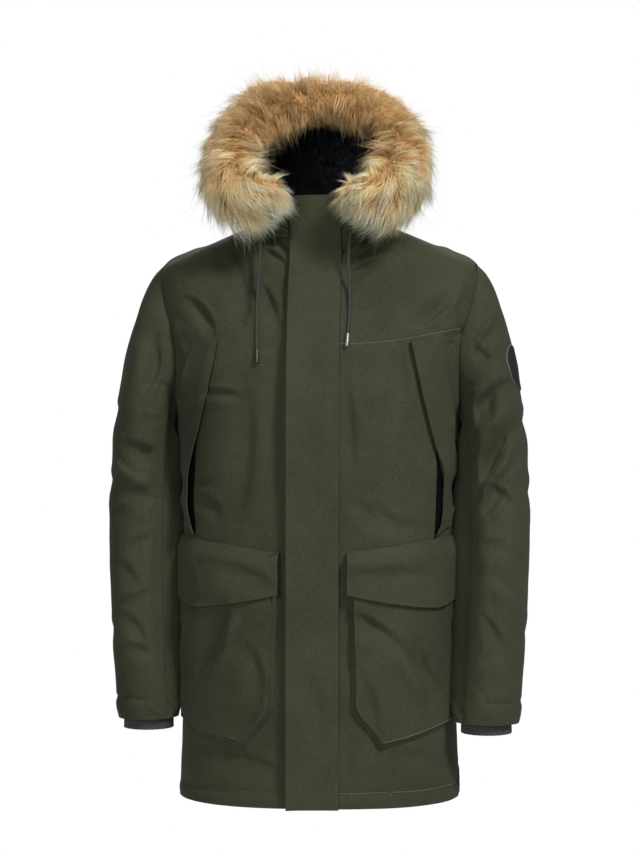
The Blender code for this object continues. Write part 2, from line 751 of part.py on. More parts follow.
def ruff_frame(place):
    """Centre, radius, direction to the hood and direction outwards at a place of the ruff."""
    x, y, z, radius = spline(RUFF, place)
    centre = Vector((x, y, z))
    step = 0.05
    if place >= RUFF_END:
        along = Vector((-1, 0, 0))
    else:
        after = Vector(spline(RUFF, place + step)[:3])
        before = Vector(spline(RUFF, max(place - step, 0.0))[:3])
        along = (after - before).normalized()
    behind = Vector((0, 0.96, -0.28))
    behind = (behind - along * behind.dot(along)).normalized()
    return centre, radius, behind, along.cross(behind)


def make_ruff():
    """A fat strip of fur as one closed roll from chin to chin."""
    places = steps(0, RUFF_END, 2 * RUFF_END)
    rings = []
    for side in ("right", "left"):
        half = []
        for n, place in enumerate(places):
            centre, radius, behind, outward = ruff_frame(place)
            ring = []
            for i in range(RUFF_SIDES):
                turn = 2 * math.pi * i / RUFF_SIDES
                ahead = math.cos(turn) < 0.3
                swell = 1 + RUFF_TUFT * math.sin(2.6 * n + 2 * turn) * ahead
                reach = behind * math.cos(turn) + outward * math.sin(turn)
                ring.append(mirrored(centre + reach * radius * min(swell, 1 + RUFF_TUFT), side))
            half.append(ring)
        rings += half if side == "right" else half[-2::-1]
    points = [p for ring in rings for p in ring]
    faces = []
    for j in range(len(rings) - 1):
        for i in range(RUFF_SIDES):
            k = (i + 1) % RUFF_SIDES
            a, b = j * RUFF_SIDES, (j + 1) * RUFF_SIDES
            faces.append((a + i, a + k, b + k, b + i))
    last = (len(rings) - 1) * RUFF_SIDES
    faces.append(tuple(range(RUFF_SIDES))[::-1])
    faces.append(tuple(last + i for i in range(RUFF_SIDES)))
    if enclosed(points, faces) < 0:
        faces = [face[::-1] for face in faces]
    new_object("fur_ruff", points, faces, TAN, 0.9)


HOOD_PLACES = steps(1, RUFF_END, 2 * (RUFF_END - 1))     # places of the ruff beside columns
HOOD_COLUMNS = len(HOOD_PLACES)                          # and one more at the neck seam
HOOD_BACKS = steps(0, 3, 9)                              # rows, from the rim to the neck


def hood_foot(angle):
    return body(angle, HOOD_FOOT_RING, HOOD_FOOT_LIFT)


def hood_arches(column):
    """Four points of one column: on the rim, the middle, the pouch and the back of the neck."""
    share = column / HOOD_COLUMNS
    feet = [hood_foot(angle) for angle in HOOD_FOOT_ANGLES]
    if column == 0:
        rim = feet[0]
    else:
        centre, radius, behind, _ = ruff_frame(HOOD_PLACES[column - 1])
        rim = centre + behind * (radius + RIM_CLEAR)
    middle = [tuple(feet[1])] + HOOD_MIDDLE
    pouch = [tuple(feet[2])] + HOOD_POUCH
    neck = hood_foot(mix(HOOD_FOOT_ANGLES[3], math.pi, share))
    return [tuple(rim), tuple(spline(middle, share * (len(middle) - 1))),
            tuple(spline(pouch, share * (len(pouch) - 1))), tuple(neck)]


def hood_flat(column, back):
    low = min(int(column), HOOD_COLUMNS - 1)
    near = Vector(spline(hood_arches(low), back))
    if column == low:
        return near
    return near.lerp(Vector(spline(hood_arches(low + 1), back)), column - low)


def hood(column, back, lift=0.0):
    """A point of the left half's inner face; back runs from 0 at the rim to 3 at the neck."""
    if not lift:
        return hood_flat(column, back)
    along = hood_flat(column, min(back + 0.15, 3.0)) - hood_flat(column, max(back - 0.15, 0.0))
    if column >= HOOD_COLUMNS - 0.01:
        before = hood_flat(HOOD_COLUMNS - 1, back)
        after = Vector((-before.x, before.y, before.z))
    else:
        before = hood_flat(max(column - 1, 0), back)
        after = hood_flat(min(column + 1, HOOD_COLUMNS), back)
    out = (after - before).cross(along).normalized()
    return hood_flat(column, back) - out * lift


def make_hood():
    """Two halves sewn along the crown."""
    columns = range(HOOD_COLUMNS + 1)
    backs = HOOD_BACKS
    for side in SIDES:
        outer = [[mirrored(hood(c, b, HOOD_WALL), side) for c in columns] for b in backs]
        inner = [[mirrored(hood(c, b), side) for c in columns] for b in backs]
        wall("hood_" + side, inset(outer, PANEL_INSET), inset(inner, PANEL_INSET), OLIVE)


def make_hood_lining():
    """Dark pile inside the hood, as one sheet from cheek to cheek."""
    columns = range(2, HOOD_COLUMNS + 1)
    first, last = LINING_ROWS
    backs = HOOD_BACKS[first:last + 1]
    near = -LINING_CLEAR
    grids = []
    for lift in (near, near - PILE):
        grid = []
        for b in backs:
            right = [mirrored(hood(c, b, lift), "right") for c in columns]
            left = [hood(c, b, lift) for c in columns]
            right[-1].x = 0
            grid.append(right + left[-2::-1])
        grids.append(grid)
    wall("hood_lining", grids[0], grids[1], NAVY, 0.95)


# ---------------------------------------------------------------- drawcords

def make_tube(name, points, diameter, colour, roughness, metallic, resolution):
    line = bpy.data.curves.new(name, "CURVE")
    line.dimensions = "3D"
    line.bevel_depth = diameter / 2
    line.bevel_resolution = resolution
    line.use_fill_caps = True
    run = line.splines.new("POLY")
    run.points.add(len(points) - 1)
    for spot, point in zip(run.points, points):
        spot.co = (*point, 1.0)
    line.materials.append(cloth(name, colour, roughness, metallic))
    piece = bpy.data.objects.new(name, line)
    bpy.context.scene.collection.objects.link(piece)


def make_cords():
    """Each cord leaves the hood under the ruff and hangs down the yoke to its tip."""
    for side in SIDES:
        route = CORD_ROUTE[side]
        points = [Vector(spline(route, p)) for p in steps(0, len(route) - 1, CORD_POINTS - 1)]
        make_tube("drawcord_" + side, points, CORD_DIAMETER, GREY, 0.8, 0.0, 2)
        down = (points[-1] - points[-2]).normalized()
        start = points[-1] + down * SEAM
        tip = [start, start + down * TIP_LENGTH]
        make_tube("cord_tip_" + side, tip, TIP_DIAMETER, SILVER, 0.35, 0.9, 3)


make_fronts()
make_yokes()
make_back()
make_sleeves()
make_rib_cuffs()
make_collar()
make_collar_tab()
make_storm_flap()
make_welts()
make_pocket_bags()
make_gussets()
make_pocket_flaps()
make_ruff()
make_hood()
make_hood_lining()
make_cords()
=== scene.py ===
import math

import bmesh
import bpy
import numpy as np
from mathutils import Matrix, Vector, noise
from mathutils.bvhtree import BVHTree
from mathutils.kdtree import KDTree


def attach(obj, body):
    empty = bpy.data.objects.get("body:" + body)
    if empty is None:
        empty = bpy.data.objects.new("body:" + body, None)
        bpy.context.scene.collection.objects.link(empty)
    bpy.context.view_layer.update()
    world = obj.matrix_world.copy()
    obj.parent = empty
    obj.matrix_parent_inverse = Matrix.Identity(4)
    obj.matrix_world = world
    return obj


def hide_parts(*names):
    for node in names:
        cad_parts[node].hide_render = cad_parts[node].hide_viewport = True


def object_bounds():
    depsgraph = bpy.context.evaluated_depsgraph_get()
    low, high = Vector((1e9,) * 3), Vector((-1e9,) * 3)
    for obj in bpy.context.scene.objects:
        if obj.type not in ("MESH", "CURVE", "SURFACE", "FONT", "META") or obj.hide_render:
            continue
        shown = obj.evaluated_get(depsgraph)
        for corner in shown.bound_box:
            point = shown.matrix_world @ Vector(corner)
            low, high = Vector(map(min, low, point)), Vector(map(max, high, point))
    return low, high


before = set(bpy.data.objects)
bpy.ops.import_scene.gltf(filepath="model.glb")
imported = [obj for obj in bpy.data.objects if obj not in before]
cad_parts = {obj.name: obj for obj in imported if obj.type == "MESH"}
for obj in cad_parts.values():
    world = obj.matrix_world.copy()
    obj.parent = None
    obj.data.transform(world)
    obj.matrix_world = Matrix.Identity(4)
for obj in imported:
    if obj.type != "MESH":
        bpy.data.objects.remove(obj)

cad_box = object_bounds()
MM = 0.001


# ------------------------ the studio
# The coat hangs free as if worn, seen from its front and a little from its left, level
# with its waist. The strongest light stands in front, high on its left; softer ones stand
# in front, above and behind.

CAMERA_AZIMUTH = math.radians(3.6)
CAMERA_DISTANCE = 3.2
VIEW_HEIGHT = -0.272
VIEW_TALL = 1.2795             # what the long side of the frame takes in at the coat
SENSOR = 36.0
FLOOR_BELOW = -1.55
FLOOR_RADIUS = 2.3


def in_scene(name, data):
    """A new object, linked into the scene."""
    made = bpy.data.objects.new(name, data)
    bpy.context.scene.collection.objects.link(made)
    return made


camera_data = bpy.data.cameras.new("camera")
camera_data.sensor_width = SENSOR
camera_data.lens = SENSOR * CAMERA_DISTANCE / VIEW_TALL
camera = in_scene("camera", camera_data)
camera.location = (CAMERA_DISTANCE * math.sin(CAMERA_AZIMUTH),
                   -CAMERA_DISTANCE * math.cos(CAMERA_AZIMUTH), VIEW_HEIGHT)
camera.rotation_euler = (math.pi / 2, 0, CAMERA_AZIMUTH)
bpy.context.scene.camera = camera
bpy.context.scene.view_settings.view_transform = "Standard"


def soft_light(name, place, aim, width, height, power):
    data = bpy.data.lights.new(name, "AREA")
    data.shape = "RECTANGLE"
    data.size = width
    data.size_y = height
    data.energy = power
    light = in_scene(name, data)
    light.location = place
    light.rotation_euler = (Vector(aim) - Vector(place)).to_track_quat("-Z", "Y").to_euler()


MIDDLE = (0, 0, -0.25)
soft_light("key_light", (2.2, -2.5, 2.3), MIDDLE, 0.9, 0.9, 125)
soft_light("front_light", (-0.7, -3.6, 0.3), MIDDLE, 1.6, 1.6, 42)
soft_light("top_light", (-0.3, -0.8, 2.7), (0, 0, 0), 1.2, 0.8, 14)
soft_light("back_light", (-0.4, 3.3, 1.6), MIDDLE, 2.0, 1.8, 75)


def linear(code):
    """A colour written as sRGB hex, for a shader's socket."""
    parts = [int(code[i:i + 2], 16) / 255 for i in (1, 3, 5)]
    return (*[c / 12.92 if c <= 0.04045 else ((c + 0.055) / 1.055) ** 2.4 for c in parts], 1.0)


def add(tree, kind, settings=(), **inputs):
    """A node with its settings and its inputs, each a value or a socket to link from."""
    node = tree.nodes.new("ShaderNode" + kind)
    for name, value in dict(settings).items():
        setattr(node, name, value)
    for name, value in inputs.items():
        socket = node.inputs[int(name[1:])] if name[1:].isdigit() else node.inputs[name.replace("_", " ")]
        if isinstance(value, bpy.types.NodeSocket):
            tree.links.new(value, socket)
        else:
            socket.default_value = value
    return node


world = bpy.data.worlds.new("studio")
world.use_nodes = True
bpy.context.scene.world = world
sky = world.node_tree
ROOM_GREY = 0.12               # what the coat is lit by, all round
lit = add(sky, "Background", Color=(1, 1, 1, 1), Strength=ROOM_GREY)
seen = add(sky, "Background", Color=(1, 1, 1, 1), Strength=1.0)
shown = add(sky, "LightPath")
blend = add(sky, "MixShader", _0=shown.outputs["Is Camera Ray"], _1=lit.outputs[0], _2=seen.outputs[0])
sky.links.new(blend.outputs[0], sky.nodes["World Output"].inputs["Surface"])


def material(name, **inputs):
    """A material with its tree and its shader, which takes the inputs named here."""
    made = bpy.data.materials.new(name)
    made.use_nodes = True
    shader = made.node_tree.nodes["Principled BSDF"]
    for socket, value in inputs.items():
        shader.inputs[socket.replace("_", " ")].default_value = value
    return made, made.node_tree, shader


painted_floor, _, _ = material("white_painted_floor", Base_Color=linear("#dcdcdc"), Roughness=0.9)
bpy.ops.mesh.primitive_circle_add(radius=FLOOR_RADIUS, vertices=96, fill_type="NGON",
                                  location=(0, 0, FLOOR_BELOW))
floor = bpy.context.object
floor.name = "floor"
floor.data.materials.append(painted_floor)


# ------------------------ shell cloth
# The shell is a matte canvas of dark olive polyester yarns, woven plain, with a dry hand
# and a faint heather. The inside is a black taffeta lining.

YARN = 1.3 * MM                # drawn at more than twice its real spacing, so that it shows
WAVE_AT_SCALE_ONE = math.tau / 20      # metres from band to band in a wave texture of scale 1
WEAVE_UV = "weave"


def in_space(tree, kind, settings=(), **inputs):
    """A pattern that runs through the piece's own space."""
    return add(tree, kind, settings, Vector=add(tree, "TexCoord").outputs["Object"], **inputs)


def two_tones(tree, pattern, codes, places=(0.0, 1.0)):
    """A colour that runs from one tone to the other as a pattern runs between two values."""
    ramp = add(tree, "ValToRGB", Fac=pattern.outputs["Fac"])
    for element, code, place in zip(ramp.color_ramp.elements, codes, places):
        element.position = place
        element.color = linear(code)
    return ramp.outputs["Color"]


def patterned(tree, shader, pattern, codes, strength, depth, places=(0.0, 1.0)):
    """Give a shader two tones, and relief, from one pattern."""
    tree.links.new(two_tones(tree, pattern, codes, places), shader.inputs["Base Color"])
    lift = add(tree, "Bump", Strength=strength, Distance=depth, Height=pattern.outputs["Fac"])
    tree.links.new(lift.outputs[0], shader.inputs["Normal"])


shell_cloth, tree, shader = material("olive_polyester_canvas", Specular_IOR_Level=0.22,
                                     Sheen_Weight=0.05, Sheen_Roughness=0.5)
grain = add(tree, "UVMap", {"uv_map": WEAVE_UV})
yarn_bump = []
for direction in ("X", "Y"):
    yarns = add(tree, "TexWave", {"bands_direction": direction}, Vector=grain.outputs[0],
                Scale=WAVE_AT_SCALE_ONE / YARN, Distortion=1.2, Detail=2.0, Detail_Scale=1.5)
    yarn_bump.append(yarns.outputs["Fac"])
woven = add(tree, "Math", {"operation": "MULTIPLY"}, _0=yarn_bump[0], _1=yarn_bump[1])
slub = in_space(tree, "TexNoise", Scale=330.0, Detail=3.0, Roughness=0.8)
cloud = in_space(tree, "TexNoise", Scale=7.0, Detail=4.0, Roughness=0.6)
heather = two_tones(tree, slub, ("#262a1b", "#4c5140"), (0.30, 0.72))
worn = two_tones(tree, cloud, ("#30341f", "#41462f"), (0.35, 0.68))
colour = add(tree, "Mix", {"data_type": "RGBA"}, _0=0.55, _6=heather, _7=worn)
tree.links.new(colour.outputs[2], shader.inputs["Base Color"])
crumple = in_space(tree, "TexNoise", Scale=34.0, Detail=3.0, Roughness=0.55, Distortion=0.6)
rough = add(tree, "MapRange", Value=slub.outputs["Fac"], To_Min=0.72, To_Max=0.90)
tree.links.new(rough.outputs[0], shader.inputs["Roughness"])
soft = add(tree, "Bump", Strength=0.35, Distance=1.6 * MM, Height=crumple.outputs["Fac"])
fine = add(tree, "Bump", Strength=0.5, Distance=0.20 * MM, Height=woven.outputs[0],
           Normal=soft.outputs[0])
dry = add(tree, "Bump", Strength=0.4, Distance=0.15 * MM, Height=slub.outputs["Fac"],
          Normal=fine.outputs[0])
tree.links.new(dry.outputs[0], shader.inputs["Normal"])

lining_cloth, tree, shader = material("black_taffeta_lining", Roughness=0.5)
ripple = in_space(tree, "TexNoise", Scale=26.0, Detail=3.0)
patterned(tree, shader, ripple, ("#0f1110", "#1e201d"), 0.4, 1.5 * MM)


# ------------------------ folds of the worn coat
# The coat is lightly padded, so its folds are soft troughs with a low swell beside them:
# at the armpits and elbows, from the shoulders, over the pockets, and down the back.

FOLDS = [
    # view, then its folds: from (across, up), to (across, up), half width, depth, bow, in mm
    ("front", [
        # right front and yoke
        ((-78, -12), (-46, -33), 6, -3.5, 2), ((-106, -8), (-100, -110), 12, -5.0, 4),
        ((-78, -66), (-52, -124), 8, -3.5, 3), ((-184, -87), (-149, -130), 8, -3.5, 5),
        ((-150, -20), (-128, -60), 12, -2.5, 5), ((-161, -222), (-110, -226), 6, -2.5, 3),
        ((-170, -374), (-138, -396), 9, -2.6, 4), ((-176, -352), (-152, -348), 7, -2.5, -2),
        ((-52, -146), (-54, -379), 9, -2.5, 3), ((-96, -233), (-112, -408), 16, -2.2, 8),
        ((-131, -541), (-174, -629), 16, -6.5, 10), ((-110, -546), (-148, -597), 8, 3.2, 6),
        ((-78, -669), (-117, -720), 10, -2.5, 4), ((-92, -590), (-76, -650), 12, -2.2, 5),
        ((-190, -466), (-176, -524), 10, -2.5, 3), ((-150, -470), (-60, -500), 14, -2.0, 8),
        ((-176, -735), (-52, -764), 12, -2.2, 6),
        # left front and yoke
        ((52, -50), (100, -27), 7, -5.0, 3), ((64, -28), (94, -10), 7, -4.0, 2),
        ((110, -33), (195, -42), 14, -3.5, 8), ((202, -74), (151, -124), 9, -3.2, 5),
        ((122, -161), (116, -262), 16, -2.6, 8), ((42, -212), (52, -335), 13, -3.2, 5),
        ((88, -384), (140, -416), 9, -2.4, -6), ((144, -408), (166, -418), 8, -1.2, -2),
        ((60, -380), (84, -404), 9, -2.4, 3), ((88, -350), (70, -382), 8, -2.0, 3),
        ((50, -488), (166, -486), 14, -2.0, 7), ((64, -541), (140, -611), 10, -4.5, 7),
        ((99, -565), (157, -658), 9, 3.8, 7), ((148, -575), (180, -655), 9, -4.0, -5),
        ((58, -604), (93, -720), 12, -2.8, 6), ((35, -771), (52, -720), 9, -3.0, 3),
        ((120, -740), (180, -756), 10, -2.0, 4),
        # storm flap, hardly creased
        ((-6, -150), (4, -300), 18, -1.0, 6), ((-14, -620), (10, -700), 16, -1.2, 5),
        ((6, -40), (-10, -90), 14, -1.0, 3),
        # right sleeve, from the front
        ((-222, -128), (-213, -235), 15, -6.5, 5), ((-262, -302), (-206, -356), 12, -10.0, 9),
        ((-248, -252), (-208, -262), 8, 3.0, -3), ((-246, -258), (-212, -282), 9, -3.6, 4),
        ((-298, -322), (-246, -352), 9, 3.2, -5), ((-256, -366), (-200, -398), 11, -8.0, 7),
        ((-232, -150), (-252, -226), 9, -5.0, 6), ((-306, -384), (-276, -392), 9, -2.2, -5),
        ((-276, -452), (-226, -436), 12, -3.0, 6), ((-292, -528), (-233, -506), 8, -2.6, -4),
        ((-281, -546), (-248, -587), 9, -2.4, 5), ((-285, -590), (-222, -610), 8, -3.0, 4),
        ((-290, -470), (-262, -500), 10, -2.0, 4),
        # left sleeve, from the front
        ((250, -79), (212, -152), 13, -8.0, 5), ((211, -154), (242, -166), 10, -8.0, 3),
        ((236, -161), (258, -130), 8, -3.5, 3), ((206, -286), (268, -214), 13, -9.0, 6),
        ((255, -234), (232, -272), 12, -5.0, 5), ((268, -300), (206, -380), 14, -13.0, 6),
        ((284, -316), (240, -376), 10, 3.5, -5), ((247, -356), (284, -386), 8, -3.0, 4),
        ((269, -366), (222, -410), 10, -5.0, 5), ((290, -250), (272, -300), 12, -2.4, 5),
        ((217, -460), (262, -440), 10, -3.0, 5), ((217, -528), (269, -587), 10, -3.0, 6),
        ((255, -500), (284, -530), 12, 2.4, 4), ((222, -612), (262, -600), 8, -2.0, 4),
    ]),
    ("left", [
        # outer side of the left sleeve: across is towards the back
        ((-60, -250), (20, -300), 13, -2.0, 10), ((-80, -350), (-20, -380), 12, -1.6, 8),
        ((-98, -540), (-50, -590), 11, -1.2, 6), ((10, -150), (46, -220), 12, -2.2, 7),
    ]),
    ("right", [
        # outer side of the right sleeve: across is towards the back
        ((-50, -240), (26, -300), 13, -2.0, 11), ((-60, -345), (-8, -378), 12, -1.6, 8),
        ((-74, -560), (-30, -600), 11, -1.2, 6), ((6, -160), (44, -226), 12, -2.2, 7),
    ]),
    ("inner", [
        # where the sleeves rest against the body
        ((-46, -315), (-62, -700), 92, 7.8, 0), ((-90, -424), (-50, -430), 26, 2.5, 0),
    ]),
    ("back", [
        # back of the sleeves
        ((-282, -250), (-226, -318), 12, -5.5, 10), ((-300, -330), (-240, -372), 12, -4.0, 9),
        ((-296, -430), (-250, -460), 12, -3.0, 8), ((-250, -540), (-290, -580), 12, -2.2, 6),
        ((280, -246), (226, -322), 12, -5.8, 10), ((302, -340), (240, -366), 12, -4.0, 9),
        ((292, -420), (252, -466), 12, -3.2, 8), ((252, -548), (290, -574), 12, -2.2, 6),
        # back panel
        ((-196, -250), (-120, -330), 17, -5.6, 14), ((196, -244), (126, -338), 17, -5.4, 13),
        ((-176, -150), (-110, -214), 18, -3.6, 12), ((172, -158), (98, -208), 18, -3.4, 11),
        ((-130, -440), (40, -468), 18, -4.0, 12), ((120, -420), (30, -442), 15, -3.0, 8),
        ((-60, -500), (118, -520), 18, -3.2, -10), ((-96, -560), (-118, -740), 20, -3.8, 10),
        ((84, -580), (104, -770), 20, -3.4, -9), ((8, -620), (-6, -780), 20, -2.6, 8),
        ((-40, -80), (-10, -180), 18, -2.2, 6),
        # crown and pouch of the hood; below, the same from its two sides
        ((-70, 150), (-20, 96), 13, -3.4, 8), ((64, 146), (24, 90), 13, -3.2, 8),
        ((-92, 96), (-36, 66), 12, -3.0, 7), ((88, 100), (40, 62), 12, -2.9, 7),
    ]),
    ("left", [
        ((30, 130), (84, 60), 13, -2.8, 9),
    ]),
    ("right", [
        ((30, 130), (84, 60), 13, -2.6, 9),
    ]),
]
FALL = 1.6                     # all the folds are this much deeper than written
BOTH_WAYS = 1.6                # a fold sinks into the cloth and along the view; this divides the sum
INNER_FROM = 0.19              # the inner folds are for cloth further out than this
STEEPER = 0.45                 # one side of a fold is steep, and the other is soft
FOLD_SWELL = 0.40              # how high the cloth swells on either side of a trough
SWELL_PLACE = 1.9
SOFT_SIZE = 0.085              # the padding's own slow unevenness
SOFT_DEPTH = 1.1 * MM
SMALL_SIZE = 0.026             # small wrinkles of the shell
SMALL_DEPTH = 0.40 * MM
DRAG_SIZE = 0.12               # faint drag lines between the folds
DRAG_DEPTH = 1.3 * MM
DRAG_WAVER, DRAG_WAVER_SIZE = 0.02, 0.11
ABOVE_HEM = (-0.705, -0.650)   # the inner folds fade in between these heights, above the sleeve's hem
VIEW_AXES = {"front": (0, 1, -1), "back": (0, 1, 1), "left": (1, 0, 1), "right": (1, 0, -1),
             "inner": (1, 0, 0)}
noise.seed_set(11)             # without it noise_vector takes its offsets from the clock


def smooth(value, low, high):
    share = np.clip((value - low) / (high - low), 0, 1)
    return share * share * (3 - 2 * share)


def folded(points, normals):
    """How each point moves for the folds, and for the padding's own unevenness."""
    moves = np.zeros_like(points)
    for view, folds in FOLDS:
        across, facing, sign = VIEW_AXES[view]
        into = normals.copy()
        steeper, swell = STEEPER, FOLD_SWELL
        if view == "inner":
            sign = -np.sign(points[:, 0]) * (np.abs(points[:, 0]) > INNER_FROM)
            steeper = swell = 0
        else:
            into[:, facing] += sign * np.linalg.norm(normals, axis=1)
            into /= BOTH_WAYS
        seen_from = smooth(normals[:, facing] * sign, 0.10, 0.50)
        for start, end, half_width, depth, bow in folds:
            run = np.array(end, float) - start
            length = np.hypot(*run)
            run /= length
            spot = np.stack([points[:, across], points[:, 2]], 1) / MM - start
            along = spot @ run / length
            middle = 1 - np.clip(2 * along - 1, -1, 1) ** 2
            off = spot @ np.array((-run[1], run[0])) - bow * middle
            past = np.maximum(np.maximum(-along, along - 1), 0) * length
            off = np.hypot(off, past) / (half_width * np.where(off > 0, 1 - steeper, 1 + steeper))
            ends = smooth(points[:, 2], *ABOVE_HEM) if view == "inner" else 0.35 + 0.65 * middle
            shape = np.exp(-off ** 2) - swell * np.exp(-(off - SWELL_PLACE) ** 2)
            moves += into * (FALL * depth * MM * shape * ends * seen_from)[:, None]
    for i, point in enumerate(points):
        place = Vector(point)
        pulled = place + DRAG_WAVER * noise.noise_vector(place / DRAG_WAVER_SIZE)
        pulled.z *= 0.7
        pulled.z += 0.55 * abs(pulled.x)
        swell = SOFT_DEPTH * noise.noise(place / SOFT_SIZE)
        swell -= DRAG_DEPTH * max(0, 1 - 3.2 * abs(noise.noise(pulled / DRAG_SIZE))) ** 1.5
        swell *= 1 - 0.65 * abs(normals[i][0])
        moves[i] += normals[i] * (swell + SMALL_DEPTH * noise.noise(place / SMALL_SIZE))
    return moves


# ------------------------ making up the shell
# Each cut piece is a wall of shell, wadding and lining. Its edges are turned in at the
# seams, so the cloth sinks there, and short puckers run in from the stitches.

RIM_ANGLE = math.radians(50)
LONG_EDGE = 0.042
GIVEN_BACK, GIVEN_BACK_AT_RIM = 0.22, 0.9       # shares of what rounding takes off, in each round
ROUNDS_BACK, RELAX_ROUNDS = 3, 8
SLEEVE_ROUND, BODY_ROUND = 0.06, 0.16           # radii that the weave is laid on
SEAM_REACH = 7 * MM
PUCKER_SIZE = 0.013
PUCKER_SIZE_AT_HEM = 0.012
HEM_GROOVE, HEM_GROOVE_WIDE = 2.4 * MM, 3.5 * MM
SHARED_RIM = 7 * MM            # rims nearer than this to each other are sewn together
EASE = 0.030                   # how far in from a seam the cloth still leans with it
SHOULDER_LIFT = 3.2 * MM       # wadding fills the seam at the head of the sleeve


def coordinates(mesh):
    values = np.empty(len(mesh.vertices) * 3)
    mesh.vertices.foreach_get("co", values)
    return values.reshape(-1, 3)


def unit(rows, least=0.0):
    """Each row at length one; least keeps a row of no length from dividing by nothing."""
    return rows / (np.linalg.norm(rows, axis=1)[:, None] + least)


def near_tree(points):
    tree = KDTree(max(len(points), 1))
    for i, point in enumerate(points):
        tree.insert(point, i)
    tree.balance()
    return tree


def body_middle(point):
    return Vector((0, 0, min(point.z, 0)))


def sleeve_middle(point):
    """The line down the middle of a sleeve; the left one hangs further forward."""
    side = math.copysign(1, point.x)
    down = min(max((-point.z - 0.16) / 0.54, 0), 1)
    ahead = -0.018 - 0.034 * down - (0.030 * down ** 2 if side > 0 else 0)
    return Vector((side * (0.252 - 0.004 * down), ahead, point.z))


def hood_middle(point):
    return Vector((0, 0.02, 0.05))


def outer_and_inner(bm, inside):
    """The faces outside the sharp rims, and those inside."""
    left = dict.fromkeys(bm.faces)       # a set of faces has another order each run
    skins = []
    while left:
        todo = [left.popitem()[0]]
        skin = list(todo)
        while todo:
            for edge in todo.pop().edges:
                if edge.calc_face_angle(0) > RIM_ANGLE:
                    continue
                for face in edge.link_faces:
                    if face in left:
                        del left[face]
                        todo.append(face)
                        skin.append(face)
        skins.append(skin)
    skins.sort(key=lambda skin: -sum(face.calc_area() for face in skin))
    first, second = skins[:2]

    def outward(skin):
        total = sum(face.normal.dot(face.calc_center_median() - inside(face.calc_center_median()))
                    * face.calc_area() for face in skin)
        return total / sum(face.calc_area() for face in skin)

    return (first, second) if outward(first) > outward(second) else (second, first)


